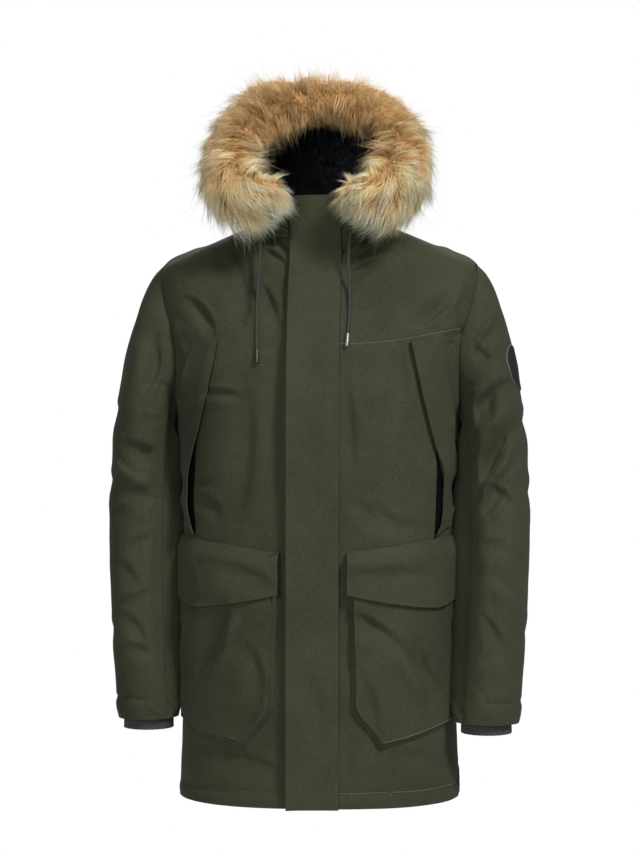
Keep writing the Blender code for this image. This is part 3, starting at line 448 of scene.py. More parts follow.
def cut_out(name, inside, outside, within=None, fine=False, relax=True):
    """One piece rounded from its node, not yet folded; its skin, rim and normals go with it."""
    bm = bmesh.new()
    bm.from_mesh(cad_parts[name].data)
    bmesh.ops.remove_doubles(bm, verts=bm.verts, dist=0.01 * MM)
    bmesh.ops.join_triangles(bm, faces=bm.faces, angle_face_threshold=math.radians(35),
                             angle_shape_threshold=math.pi)
    long = [edge for edge in bm.edges if edge.calc_length() > LONG_EDGE]
    bmesh.ops.subdivide_edges(bm, edges=long, cuts=1, use_grid_fill=True)
    bmesh.ops.recalc_face_normals(bm, faces=bm.faces)
    on_skin = bm.faces.layers.int.new("skin")
    crease = bm.edges.layers.float.new("crease_edge")
    corner = bm.verts.layers.float.new("crease_vert")
    for edge in bm.edges:
        if edge.calc_face_angle(0) > RIM_ANGLE:
            edge[crease] = 1.0
    for vert in bm.verts:
        rims = [edge for edge in vert.link_edges if edge[crease] > 0]
        if len(rims) > 2:
            vert[corner] = 1.0
        elif len(rims) == 2:
            ways = [(edge.other_vert(vert).co - vert.co).normalized() for edge in rims]
            if ways[0].dot(ways[1]) > -0.55:
                vert[corner] = 1.0
    outer, inner = outer_and_inner(bm, inside)
    for face in outer:
        face[on_skin] = 1
    for face in inner:
        face[on_skin] = 2
    area = sum(face.calc_area() for face in bm.faces) / 2
    bm.verts.index_update()
    rim_verts = [vert.index for vert in bm.verts if any(edge[crease] > 0 for edge in vert.link_edges)]
    mesh = bpy.data.meshes.new(name + "_cut")
    bm.to_mesh(mesh)
    bm.free()
    mesh.attributes.remove(mesh.attributes["custom_normal"])
    piece = in_scene(name + "_cloth", mesh)
    rounded = piece.modifiers.new("rounded", "SUBSURF")
    rounded.levels = rounded.render_levels = 2
    home = coordinates(mesh)
    held = home.copy()
    gain = np.full((len(home), 1), GIVEN_BACK)
    gain[rim_verts] = GIVEN_BACK_AT_RIM
    for _ in range(ROUNDS_BACK):
        bpy.context.view_layer.update()
        now = coordinates(piece.evaluated_get(bpy.context.evaluated_depsgraph_get()).data)
        held += gain * (home - now[:len(home)])
        mesh.vertices.foreach_set("co", held.ravel())
        mesh.update()
    bpy.context.view_layer.update()
    dense = bpy.data.meshes.new_from_object(
        piece.evaluated_get(bpy.context.evaluated_depsgraph_get()))
    piece.modifiers.clear()
    piece.data = dense
    dense.name = name + "_cloth"
    if fine:
        bm = bmesh.new()
        bm.from_mesh(dense)
        on_skin = bm.faces.layers.int["skin"]
        edges = dict.fromkeys(edge for face in bm.faces if face[on_skin] == 1 for edge in face.edges)
        bmesh.ops.subdivide_edges(bm, edges=list(edges), cuts=1, use_grid_fill=True)
        bm.to_mesh(dense)
        bm.free()
    dense.materials.clear()
    dense.materials.append(outside)
    dense.materials.append(within or outside)

    points = coordinates(dense)
    edge_ends = np.empty(len(dense.edges) * 2, dtype=np.int32)
    dense.edges.foreach_get("vertices", edge_ends)
    a, b = edge_ends.reshape(-1, 2).T
    fixed = np.zeros(len(points), bool)
    skin = np.empty(len(dense.polygons), dtype=np.int32)
    dense.attributes["skin"].data.foreach_get("value", skin)
    for polygon in dense.polygons:
        if skin[polygon.index] == 0:
            fixed[list(polygon.vertices)] = True
    share = np.bincount(a, minlength=len(points)) + np.bincount(b, minlength=len(points))
    for _ in range(RELAX_ROUNDS if relax else 0):
        around = np.zeros_like(points)
        np.add.at(around, a, points[b])
        np.add.at(around, b, points[a])
        around = around / share[:, None] - points
        around[fixed] = 0
        points += 0.5 * around
    dense.vertices.foreach_set("co", points.ravel())
    dense.update()
    normals = np.zeros_like(points)
    covered = np.zeros(len(points), bool)
    other = np.zeros(len(points), bool)
    dense.polygons.foreach_set("material_index", (skin == 2).astype(np.int32))
    skin = skin == 1
    for polygon in dense.polygons:
        corners = list(polygon.vertices)
        if skin[polygon.index]:
            normals[corners] += np.array(polygon.normal) * polygon.area
            covered[corners] = True
        else:
            other[corners] = True
    on = np.flatnonzero(covered)
    normals[on] = unit(normals[on], 1e-12)
    tree = near_tree(points[on])
    for i in np.flatnonzero(~covered):
        normals[i] = normals[on[tree.find(points[i])[1]]]
    times = {}
    for polygon in dense.polygons:
        if skin[polygon.index]:
            for key in polygon.edge_keys:
                times[key] = times.get(key, 0) + 1
    return {"piece": piece, "points": points, "normals": normals, "covered": covered,
            "rim": np.flatnonzero(covered & other), "area": area, "inside": inside, "hem": 0.0,
            "skin": skin, "rim_edges": np.array([key for key, count in times.items() if count == 1])}


def along_rim(cut):
    """Points and normals every millimetre or so along the rim of a piece's skin."""
    a, b = cut["rim_edges"].T
    shares = np.linspace(0, 1, 8, endpoint=False)[:, None, None]
    return [(cut[kind][a] * (1 - shares) + cut[kind][b] * shares).reshape(-1, 3)
            for kind in ("points", "normals")]


def sew_to(cut, others):
    """Bring a piece's rim onto the rims that it is sewn to, and the cloth near it as well."""
    points, rim = cut["points"], cut["rim"]
    if others:
        there = np.concatenate([along_rim(other)[0] for other in others])
        tree = near_tree(there)
        shift = np.zeros((len(rim), 3))
        for k, i in enumerate(rim):
            _, nearest, far = tree.find(points[i])
            if far < SHARED_RIM:
                shift[k] = there[nearest] - points[i]
        rims = near_tree(points[rim])
        moves = np.zeros_like(points)
        for i, point in enumerate(points):
            _, nearest, far = rims.find(point)
            moves[i] = shift[nearest] * math.exp(-(far / EASE) ** 2)
        points += moves


def hem_groove(cut):
    """The hem is turned up and stitched: the cloth sinks and puckers along the stitches."""
    points, rim = cut["points"], cut["rim"]
    groove = np.zeros(len(points))
    if cut["hem"]:
        floor_of = points[rim][:, 2].min() + cut["hem"]
        low = near_tree(points[rim[points[rim][:, 2] < floor_of]])
        for i in np.flatnonzero(points[:, 2] < floor_of + cut["hem"] + 0.04):
            off = low.find(points[i])[2] - cut["hem"]
            half = cut["hem"] / 2
            pulled = 1 + 1.1 * noise.noise(Vector(points[i]) / PUCKER_SIZE_AT_HEM)
            groove[i] -= HEM_GROOVE * pulled * math.exp(-(off / HEM_GROOVE_WIDE) ** 2)
            groove[i] += MM * (0.6 + 0.8 * pulled) * math.exp(-((off + half) / half) ** 2)
    return groove


def fold_over(cut, sink, pucker, calm=None, lean=None, lift=None):
    """Move the cloth of a piece into its folds, sink it at the seams, and lift its free edge."""
    points, normals = cut["points"], cut["normals"].copy()
    rim = cut["rim"]
    tree = near_tree(points[rim])
    leans = normals[rim] if lean is None else lean
    away = np.zeros(len(points))
    for i, point in enumerate(points):
        _, nearest, away[i] = tree.find(point)
        share = math.exp(-(away[i] / EASE) ** 2)
        normals[i] = normals[i] * (1 - share) + leans[nearest] * share
    moves = folded(points, normals)
    if calm is not None:
        moves *= calm(points)[:, None]
    moved = np.zeros(len(points))
    if cut["inside"] is not hood_middle:
        high = smooth(points[:, 2], -0.17, -0.11) * smooth(np.abs(points[:, 0]), 0.17, 0.19)
        moved += SHOULDER_LIFT * high * np.exp(-(away / (12 * MM)) ** 2)
    moved += hem_groove(cut)
    if lift is not None:
        moved += lift(points)
    for i in np.flatnonzero(cut["covered"]):
        moved[i] -= sink * MM * math.exp(-(away[i] / SEAM_REACH) ** 2)
        wrinkle = noise.noise(Vector(points[i]) / PUCKER_SIZE)
        moved[i] += pucker * MM * wrinkle * math.exp(-away[i] / (3 * SEAM_REACH))
    points += moves + normals * moved[:, None]
    mesh = cut["piece"].data
    mesh.vertices.foreach_set("co", points.ravel())
    grain_map = mesh.uv_layers.new(name=WEAVE_UV)
    girth = SLEEVE_ROUND if cut["inside"] is sleeve_middle else BODY_ROUND
    middles = np.array([cut["inside"](Vector(p)) for p in points])
    spread = points - middles
    behind = -1 if spread[:, 1].mean() > 0.03 else 1
    turn = np.arctan2(spread[:, 0], -spread[:, 1] * behind) * girth
    for loop in mesh.loops:
        grain_map.data[loop.index].uv = (turn[loop.vertex_index], points[loop.vertex_index][2])
    mesh.shade_smooth()
    mesh.set_sharp_from_angle(angle=math.radians(55))
    mesh.update()


def in_place_of(node, piece):
    """The piece belongs to the coat, and takes the place of a node."""
    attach(piece, "root")
    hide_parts(node)


def each(rows):
    """The rows of a table, one for each of the pieces that head it."""
    return [(name, *rest) for names, *rest in rows for name in names.split()]


def finished(name, cut, flat):
    """The made-up piece takes its node's place, and is kept among the sewn pieces."""
    in_place_of(name, cut["piece"])
    sewn[name] = cut


def beside_flap(points):
    """The storm flap's left edge is sewn down, so the cloth beside it lies flat."""
    return smooth(points[:, 0], 0.036, 0.062)


UNDER_FLAP = {"front_left": beside_flap, "yoke_left": beside_flap}
sewn = {}
SHELL = each([
    # pieces, the middle they wrap, flat width and length, depth of the hem
    ("yoke_left yoke_right", body_middle, (0.27, 0.25), 0.0),
    ("front_left front_right", body_middle, (0.30, 0.72), 0.022),
    ("back", body_middle, (0.66, 0.92), 0.022),
    ("sleeve_top_left sleeve_top_right", sleeve_middle, (0.30, 0.72), 0.031),
    ("sleeve_under_left sleeve_under_right", sleeve_middle, (0.15, 0.60), 0.031),
])
cuts = {}
for name, inside, _, hem in SHELL:
    fine = name not in ("back", "sleeve_under_left", "sleeve_under_right")
    cuts[name] = cut_out(name, inside, shell_cloth, lining_cloth, fine)
    cuts[name]["hem"] = hem
sewn_so_far = []
for name, *_ in SHELL:
    sew_to(cuts[name], sewn_so_far)
    sewn_so_far.append(cuts[name])
rims = {name: along_rim(cut) for name, cut in cuts.items()}
rim_trees = {name: near_tree(spots) for name, (spots, _) in rims.items()}
leans = {}
for name, cut in cuts.items():
    lean = cut["normals"][cut["rim"]].copy()
    for k, i in enumerate(cut["rim"]):
        met = [cut["normals"][i]]
        for other, (_, ways) in rims.items():
            _, nearest, far = rim_trees[other].find(cut["points"][i])
            if other != name and far < 2 * MM:
                met.append(ways[nearest])
        lean[k] = np.mean(met, axis=0)
    leans[name] = lean
for name, _, flat, _ in SHELL:
    fold_over(cuts[name], 0.5, 0.35, lean=leans[name], calm=UNDER_FLAP.get(name))
    finished(name, cuts[name], flat)


# ------------------------ collar, flap and pockets
# These are cut from the same canvas, faced with it, and sewn on top of the shell; the
# pockets are bags with a gusset, so that they stand off the fronts.

ON_TOP = each([
    # pieces, flat width and length, sink, pucker
    ("stand_collar", (0.60, 0.14), 0.6, 0.2),
    ("collar_tab", (0.036, 0.070), 0.3, 0.1),
    ("storm_flap", (0.085, 0.95), 0.4, 0.15),
    ("chest_welt_left chest_welt_right", (0.075, 0.32), 0.4, 0.2),
    ("pocket_bag_left pocket_bag_right", (0.20, 0.28), 0.4, 0.35),
    ("pocket_gusset_left pocket_gusset_right", (0.022, 0.70), 0.1, 0.0),
    ("pocket_flap_left pocket_flap_right", (0.21, 0.12), 0.4, 0.15),
])
FORWARD = np.array((0.0, -1.0, 0.0))
FLY_DEEP = 7 * MM


def from_low_edge(points):
    """Distance up from the slanting lower edge of a pocket flap."""
    slant = np.interp(np.abs(points[:, 0]), (0.05, 0.185), (-0.530, -0.552))
    return np.maximum(points[:, 2] - slant, 0)


def pocket_flap_lift(points):
    return 3.5 * MM * np.exp(-(from_low_edge(points) / 0.022) ** 2)


def storm_flap_lift(points):
    return 5.0 * MM * np.exp(-((points[:, 0] + 0.048) / 0.020) ** 2) * smooth(-points[:, 2], -0.03, 0.08)


def welt_lift(side, edge):
    """The lift of a welt whose free edge lies so far out at three heights down the front."""
    def lift(points):
        free = side * np.interp(-points[:, 2], (0.15, 0.33, 0.44), edge)
        return 4.0 * MM * np.exp(-((points[:, 0] - free) / 0.014) ** 2)
    return lift


FREE_EDGE = {
    "storm_flap": storm_flap_lift,
    "pocket_flap_left": pocket_flap_lift, "pocket_flap_right": pocket_flap_lift,
    "chest_welt_left": welt_lift(1, (0.130, 0.163, 0.172)),
    "chest_welt_right": welt_lift(-1, (0.147, 0.182, 0.178)),
}
for name, flat, sink, pucker in ON_TOP:
    cut = cut_out(name, body_middle, shell_cloth, relax=False,
                  fine=name.startswith(("pocket_bag", "pocket_flap")))
    if "gusset" in name:
        cut["normals"][:] = FORWARD
    fold_over(cut, sink, pucker, lift=FREE_EDGE.get(name))
    if name == "storm_flap":               # the fly behind it fills the space down to the zip
        worn = coordinates(cut["piece"].data)
        behind = ~cut["covered"]
        worn[behind, 1] += FLY_DEEP * smooth(0.042 - np.abs(worn[behind, 0] + 0.008), 0, 0.010)
        cut["piece"].data.vertices.foreach_set("co", worn.ravel())
    finished(name, cut, flat)


# ------------------------ mouths of the hand pockets
# Behind each welt is a hand pocket. Its mouth gapes near the lower end, and a thin near-black,
# dull strip lies on the front there as painted shade for the dark inside of the mouth.

def surface_of(mesh):
    """A mesh's surface, for finding places on it."""
    return BVHTree.FromPolygons([tuple(v.co) for v in mesh.vertices],
                                [tuple(f.vertices) for f in mesh.polygons])


def mesh_piece(name, verts, faces, outside, tones=None):
    """A piece made from points and faces; tones colour its points."""
    mesh = bpy.data.meshes.new(name)
    sizes = np.array([len(face) for face in faces])
    corners = np.concatenate(list(faces))
    mesh.vertices.add(len(verts))
    mesh.vertices.foreach_set("co", np.asarray(verts, dtype=np.float64).ravel())
    mesh.loops.add(len(corners))
    mesh.loops.foreach_set("vertex_index", corners.astype(np.int32))
    mesh.polygons.add(len(sizes))
    mesh.polygons.foreach_set("loop_start", (np.cumsum(sizes) - sizes).astype(np.int32))
    mesh.update(calc_edges=True)
    mesh.materials.append(outside)
    mesh.shade_smooth()
    if tones is not None:
        layer = mesh.color_attributes.new("tone", "FLOAT_COLOR", "POINT")
        layer.data.foreach_set("color", tones.ravel())
    piece = in_scene(name, mesh)
    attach(piece, "root")
    return piece


def face_outward(piece):
    """Turn the faces of a closed piece so that they point out."""
    bm = bmesh.new()
    bm.from_mesh(piece.data)
    bmesh.ops.recalc_face_normals(bm, faces=bm.faces)
    bm.to_mesh(piece.data)
    bm.free()


MOUTHS = {
    # height, then the mouth from the middle of the coat outwards, all in mm
    "front_left": [(-306, 174.6, 175.4), (-335, 176.4, 182.0), (-357, 175.8, 186.0),
                   (-379, 175.0, 187.5), (-401, 174.4, 186.0), (-415, 173.6, 182.6), (-428, 172.8, 175.0)],
    "front_right": [(-292, 173.0, 174.4), (-313, 175.0, 183.5), (-335, 176.0, 187.8),
                    (-357, 178.2, 190.0), (-379, 179.0, 190.0), (-401, 176.5, 188.0), (-420, 174.6, 183.0),
                    (-430, 176.4, 179.0)],
}
# Near-black and dull, darker than the lining: painted shade for the inside of each pocket mouth.
pocket_mouth_painted_shade, _, _ = material("pocket_mouth_painted_shade", Base_Color=linear("#060606"), Roughness=1.0,
                                 Specular_IOR_Level=0.1)

ROWS, ACROSS = 28, 5
UPPER_SIDE, LOWER_SIDE = 1.3 * MM, 0.5 * MM     # how far the strip's two sides stand off the cloth
STEEPEST = 0.8                 # limits how fast it sinks from its inner edge outwards
for front, stations in MOUTHS.items():
    sign = 1 if front == "front_left" else -1
    cloth_below = surface_of(sewn[front]["piece"].data)
    heights, from_x, to_x = (np.array(column, float) for column in zip(*stations))
    levels = np.linspace(heights[0], heights[-1], ROWS)
    verts = []
    for raised in (UPPER_SIDE, LOWER_SIDE):
        for level in levels:
            low = np.interp(-level, -heights, from_x)
            high = np.interp(-level, -heights, to_x)
            for share in np.linspace(0, 1, ACROSS):
                from_edge = (high - low) * share * MM
                spot = Vector((sign * (low * MM + from_edge), -0.6, level * MM))
                hit, _, _, _ = cloth_below.ray_cast(spot, Vector((0, 1, 0)))
                deep = hit.y if share == 0 else min(hit.y if hit else 9, deep + STEEPEST * from_edge)
                verts.append((spot.x, deep - raised, spot.z))
    layer = ROWS * ACROSS
    faces = []
    for row in range(ROWS - 1):
        for k in range(ACROSS - 1):
            a = row * ACROSS + k
            faces.append((a, a + 1, a + ACROSS + 1, a + ACROSS))
            faces.append((layer + a + ACROSS, layer + a + ACROSS + 1, layer + a + 1, layer + a))
    edge = list(range(ACROSS)) + [row * ACROSS + ACROSS - 1 for row in range(1, ROWS)]
    edge += [layer - 1 - k for k in range(1, ACROSS)] + [row * ACROSS for row in reversed(range(1, ROWS - 1))]
    for a, b in zip(edge, edge[1:] + edge[:1]):
        faces.append((b, a, layer + a, layer + b))
    pocketing = mesh_piece("pocket_mouth_" + front[6:], np.array(verts), faces, pocket_mouth_painted_shade)
    face_outward(pocketing)


# ------------------------ hood
# Two halves of the same canvas meet in a seam over the crown. Inside is a short pile
# lining, black with a blue cast, whose tufts show in the face opening.

pile_cloth, tree, shader = material("black_pile_backing", Roughness=0.95)
curl = in_space(tree, "TexNoise", Scale=160.0, Detail=3.0)
patterned(tree, shader, curl, ("#06070a", "#15181f"), 0.8, 2 * MM)

for name in ("hood_left", "hood_right"):
    cut = cut_out(name, hood_middle, shell_cloth, pile_cloth)
    lean = cut["normals"][cut["rim"]].copy()
    lean[np.abs(cut["points"][cut["rim"]][:, 0]) < 6 * MM, 0] = 0.0
    fold_over(cut, 0.6, 0.3, lean=lean, calm=lambda points: smooth(np.abs(points[:, 0]), 0.0, 0.028))
    finished(name, cut, (0.36, 0.40))
cut = cut_out("hood_lining", hood_middle, pile_cloth)
fold_over(cut, 0.0, 0.0)
finished("hood_lining", cut, (0.40, 0.30))


# ------------------------ ribbed cuffs
# Inside each sleeve hem sits a tube of dark grey knit, sewn in. Its ribs run along the arm,
# and its rows of knitting show as fine lines round it.

rib_knit, tree, shader = material("grey_wool_rib_knit", Roughness=0.95, Sheen_Weight=0.1)
loops = in_space(tree, "TexNoise", Scale=520.0, Detail=2.0)
tint = two_tones(tree, loops, ("#3a3e3e", "#3a3d3a"), (0.3, 0.7))
tree.links.new(tint, shader.inputs["Base Color"])
rows = in_space(tree, "TexWave", {"bands_direction": "Z"}, Scale=WAVE_AT_SCALE_ONE / (1.8 * MM),
                Distortion=1.5, Detail=1.0)
lift = add(tree, "Bump", Strength=0.5, Distance=0.4 * MM, Height=rows.outputs["Fac"])
fuzz = add(tree, "Bump", Strength=0.6, Distance=0.4 * MM, Height=loops.outputs["Fac"],
           Normal=lift.outputs[0])
tree.links.new(fuzz.outputs[0], shader.inputs["Normal"])

for name in ("rib_cuff_left", "rib_cuff_right"):
    cut = cut_out(name, sleeve_middle, rib_knit, relax=False)
    fold_over(cut, 0.0, 0.0, calm=lambda points: np.zeros(len(points)))
    finished(name, cut, (0.30, 0.070))


# ------------------------ fur trim
# A roll of long imitation fur is sewn round the edge of the hood. Its dense brown undercoat
# makes the roll; long guard hairs part along its front and fall away on both sides in
# pale-tipped tufts.

ROLL = [
    # x, y, z, radius, from the left end to the crown; the right half mirrors it
    (0.052, -0.131, 0.066, 0.022), (0.072, -0.137, 0.060, 0.036), (0.097, -0.132, 0.064, 0.045),
    (0.120, -0.102, 0.087, 0.047), (0.129, -0.058, 0.122, 0.043), (0.116, -0.012, 0.169, 0.043),
    (0.079, 0.014, 0.206, 0.043), (0.0, 0.026, 0.220, 0.042),
]
BEHIND = Vector((0, 0.96, -0.28))
CORE = 0.60                    # the undercoat's part of the roll's radius
STATIONS = 240


def smooth_curve(rows, place):
    """The row at place, on a smooth curve through all the rows."""
    last = len(rows) - 1
    place = min(max(place, 0.0), float(last))
    first = min(int(place), last - 1)
    t = place - first
    a, b, c, d = (np.array(rows[min(max(first + step, 0), last)]) for step in (-1, 0, 1, 2))
    return b + 0.5 * t * (c - a + t * (2 * a - 5 * b + 4 * c - d + t * (3 * b - a - 3 * c + d)))


roll_rows = ROLL + [(-x, y, z, r) for x, y, z, r in reversed(ROLL[:-1])]
line = np.array([smooth_curve(roll_rows, t) for t in np.linspace(0, len(roll_rows) - 1, STATIONS)])
along = unit(np.gradient(line[:, :3], axis=0))
back = unit(np.array(BEHIND) - along * (along @ np.array(BEHIND))[:, None])
out = np.cross(back, along)
run = np.concatenate([[0], np.cumsum(np.linalg.norm(np.diff(line[:, :3], axis=0), axis=1))])
RUN = run[-1]


def on_roll(place, angle, share):
    """Points round the roll: place along it, angle from outward to the front, share of radius."""
    inside_place = np.clip(place, 0, RUN)
    pick = [np.interp(inside_place, run, column) for column in (*line.T, *along.T, *back.T, *out.T)]
    centre, radius = np.stack(pick[0:3], -1), pick[3]
    way, rear, side = (np.stack(pick[i:i + 3], -1) for i in (4, 7, 10))
    spoke = np.cos(angle)[..., None] * side - np.sin(angle)[..., None] * rear
    return centre + spoke * (radius * share)[..., None] + way * (place - inside_place)[..., None]


undercoat, tree, shader = material("brown_fur_undercoat", Roughness=0.9)
wool = in_space(tree, "TexNoise", Scale=260.0, Detail=4.0)
patterned(tree, shader, wool, ("#8a6238", "#d0a064"), 0.8, 1.5 * MM, (0.3, 0.7))

ROUND, RINGS = 24, 96
places = np.linspace(0, RUN, RINGS)
turns = np.arange(ROUND) * math.tau / ROUND
grid_place, grid_turn = np.meshgrid(places, turns, indexing="ij")


def core_share(turn):
    """The undercoat's part of the radius: more behind, where the roll is sewn to the hood."""
    return CORE + 0.32 * smooth(-np.sin(turn), 0.10, 0.90)


core_points = on_roll(grid_place, grid_turn, core_share(grid_turn)).reshape(-1, 3)
ends = on_roll(np.array([-0.006, RUN + 0.006]), np.zeros(2), np.zeros(2))
core_points = np.concatenate([core_points, ends])
core_faces = []
for ring in range(RINGS - 1):
    for side in range(ROUND):
        after = (side + 1) % ROUND
        core_faces.append((ring * ROUND + side, ring * ROUND + after,
                           (ring + 1) * ROUND + after, (ring + 1) * ROUND + side))
last = (RINGS - 1) * ROUND
for side in range(ROUND):
    after = (side + 1) % ROUND
    core_faces.append((RINGS * ROUND, after, side))
    core_faces.append((RINGS * ROUND + 1, last + side, last + after))
core = mesh_piece("fur_undercoat", core_points, core_faces, undercoat)
face_outward(core)
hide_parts("fur_ruff")


def hair_material(name, **inputs):
    """Hair that takes its colour from the tones of its own points."""
    made, tree, shader = material(name, **inputs)
    tone = add(tree, "Attribute", {"attribute_name": "tone"})
    tree.links.new(tone.outputs["Color"], shader.inputs["Base Color"])
    return made


guard_hair = hair_material("tan_guard_hair", Roughness=0.45, Specular_IOR_Level=0.45)


HAIR_STEPS = 3


def hairs(roots, middles, tips, thick, steps=HAIR_STEPS):
    """Tapered three-sided hairs along a bend from root by way of middle to tip."""
    count = len(roots)
    shares = np.linspace(0, 1, steps + 1)[:, None, None]
    path = (1 - shares) ** 2 * roots + 2 * shares * (1 - shares) * middles + shares ** 2 * tips
    way = unit(tips - roots, 1e-9)
    aside = unit(np.cross(way, np.array((0.31, 0.52, 0.79))), 1e-9)
    above = np.cross(way, aside)
    verts = np.empty((count, steps * 3 + 1, 3))
    for step in range(steps):
        width = thick * (1 - 0.75 * step / steps)
        for corner in range(3):
            turn = corner * math.tau / 3
            verts[:, step * 3 + corner] = path[step] + width[:, None] * (
                math.cos(turn) * aside + math.sin(turn) * above)
    verts[:, -1] = path[-1]
    faces = [(0, 2, 1)]
    for step in range(steps - 1):
        for corner in range(3):
            a, b = step * 3 + corner, step * 3 + (corner + 1) % 3
            faces += [(a, b, b + 3), (a, b + 3, a + 3)]
    top = (steps - 1) * 3
    for corner in range(3):
        faces.append((top + corner, top + (corner + 1) % 3, steps * 3))
    faces = np.array(faces)[None] + (np.arange(count) * (steps * 3 + 1))[:, None, None]
    return verts.reshape(-1, 3), faces.reshape(-1, 3)


TUFTS = 1150
HAIRS_EACH = 25
HAIR_SPREAD = 0.0065
WISPS = 0.09                   # the share of hairs that stand out longer
TIPS_AHEAD, BENDS_AHEAD = 15 * MM, 13 * MM      # how far hair may reach in front of the solids
PARTING = math.radians(112)
chance = np.random.default_rng(11)
tuft_place = chance.uniform(-0.010, RUN + 0.010, TUFTS)
tuft_angle = chance.uniform(-math.pi, math.pi, TUFTS)
tuft_clump = chance.uniform(0.45, 0.85, TUFTS)
tuft_long = chance.normal(1.0, 0.12, TUFTS)
tuft_aside = chance.normal(0.0, 0.010, TUFTS)
tuft_tone = chance.normal(0.0, 0.20, TUFTS)
tuft_lean = chance.normal(1.0, 0.22, TUFTS)
tuft_parting = (chance.normal(0.0, 0.30, TUFTS) + 0.25 * np.sin(tuft_place * 31)
                + 0.15 * np.sin(tuft_place * 73))
tuft_roots = on_roll(tuft_place, tuft_angle, np.ones(TUFTS))
tuft_tone += 0.45 * np.array([noise.noise(Vector(spot) / 0.034) for spot in tuft_roots])

owner = np.repeat(np.arange(TUFTS), HAIRS_EACH)
total = len(owner)
place = tuft_place[owner] + chance.normal(0, HAIR_SPREAD, total)
angle = tuft_angle[owner] + chance.normal(0, 0.16, total)
place = np.clip(place, -0.012, RUN + 0.012)


def from_crown(place):
    """0 at the crown and 1 at either end of the roll."""
    return np.abs(place - RUN / 2) / (RUN / 2)


def toward_end(place):
    """How far hair leans along the roll to its nearer end."""
    return np.sign(place - RUN / 2) * (0.004 + 0.012 * smooth(from_crown(place), 0.2, 0.9))


low_end = smooth(from_crown(place), 0.55, 0.95)
crown = 1 - smooth(from_crown(place), 0.15, 0.55)


def past_parting(at, parted=0):
    """How far round the roll an angle lies past the parting."""
    return (at - PARTING - parted + math.pi) % math.tau - math.pi


def lean_of(at, parted):
    """How far hair at an angle leans: away from the parting, more the nearer it is to it."""
    past = past_parting(at, parted)
    side = np.where(past > 0, 1.0, -1.0)
    near = np.exp(-(np.abs(past) / math.radians(70)) ** 2)
    return side * np.radians(28 + 36 * near)


def swelling(share, middle, width):
    return np.exp(-((share - middle) / width) ** 2)


def reach_at(place, toward):
    """How far hair stands out: more at the ends, less beside the crown, uneven over the face."""
    share = place / RUN
    ends = smooth(np.abs(2 * share - 1), 0.55, 0.95)
    inward = smooth(-np.cos(toward), 0.30, 0.90)
    return (1.02 + 0.20 * ends - 0.30 * swelling(share, 0.355, 0.075) + 0.08 * swelling(share, 0.66, 0.08)
            + inward * (0.26 * swelling(share, 0.40, 0.05) + 0.18 * swelling(share, 0.615, 0.05)
                        + 0.40 * swelling(share, 0.20, 0.06) + 0.06 * swelling(share, 0.82, 0.04)
                        - 0.20 * swelling(share, 0.50, 0.04))
            + 0.16 * smooth(-np.sin(toward), 0.10, 0.90))


lean = lean_of(angle, tuft_parting[owner]) * tuft_lean[owner]
tuft_angled = tuft_angle + lean_of(tuft_angle, tuft_parting) * tuft_lean
reach = reach_at(place, angle + lean)
tuft_reach = reach_at(tuft_place, tuft_angled)
own_long = tuft_long[owner] * chance.normal(1.0, 0.10, total)
wisp = chance.random(total) < WISPS
own_long *= np.where(wisp, chance.uniform(1.12, 1.50, total), 1.0)
roots = on_roll(np.clip(place, 0, RUN), angle, core_share(angle) * 0.94)
tips = on_roll(place + toward_end(place) + tuft_aside[owner], angle + lean, reach * own_long)
tuft_tips = on_roll(tuft_place + toward_end(tuft_place) + tuft_aside, tuft_angled,
                    tuft_reach * tuft_long)
clump = (tuft_clump[owner] * np.where(wisp, 0.45, 1.0))[:, None]
tips = tips * (1 - clump) + tuft_tips[owner] * clump
tips += chance.normal(0, 1.3 * MM, (total, 3))
below = smooth((roots - np.stack([np.interp(place, run, line[:, k]) for k in range(3)], -1))[:, 2],
               0.006, -0.020)
tips[:, 2] -= low_end * (0.004 + 0.020 * below * chance.uniform(0.5, 1.1, total))
lift = on_roll(np.clip(place, 0, RUN) + 0.3 * toward_end(place), angle + 0.25 * lean, 0.98 * reach)
middles = roots * 0.25 + lift * 0.75
tips[:, 1] = np.maximum(tips[:, 1], cad_box[0][1] - TIPS_AHEAD)
middles[:, 1] = np.maximum(middles[:, 1], cad_box[0][1] - BENDS_AHEAD)
thick = chance.uniform(0.20, 0.48, total) * MM

ROOT_BROWN, MIDDLE_TAN, TIP_PALE = (np.array(linear(code)) for code in ("#b98a54", "#fbd08e", "#fff2cf"))
shade = np.clip(tuft_tone[owner] + chance.normal(0, 0.24, total), -0.5, 0.7)
# Painted light and shade: hairs are paler and brighter at the two lower ends, which face the front, and
# darker and warmer over the crown, which turns away behind.
pale = 0.22 * low_end
# Painted shade: hairs beside the parting are darker, for the shade down in the parting.
parted = (1 - low_end) * np.exp(-(past_parting(angle) / 0.45) ** 2)
tones = np.empty((total, HAIR_STEPS * 3 + 1, 4))
for step in range(HAIR_STEPS + 1):
    share = step / HAIR_STEPS
    light = np.clip((share - 0.45) / 0.55 + shade * 0.6 + pale - 0.10 * crown - 0.3 * parted, 0, 1)
    light = light[:, None]
    dark = np.clip(share / 0.45, 0, 1)
    colour = (ROOT_BROWN * (1 - dark) + MIDDLE_TAN * dark) * (1 - light) + TIP_PALE * light
    colour = colour * (1 + 0.5 * shade[:, None] + 0.28 * low_end[:, None] - 0.35 * parted[:, None])
    colour = colour * (1 - crown[:, None] * np.array((0.04, 0.09, 0.15, 0.0)))
    if step < HAIR_STEPS:
        tones[:, step * 3:step * 3 + 3] = colour[:, None]
    else:
        tones[:, -1] = colour
tones[..., 3] = 1
tones = np.clip(tones, 0, 0.96)
BATCHES = 4
batch = np.minimum((np.clip(place, 0, RUN - 1e-6) / RUN * BATCHES).astype(int), BATCHES - 1)
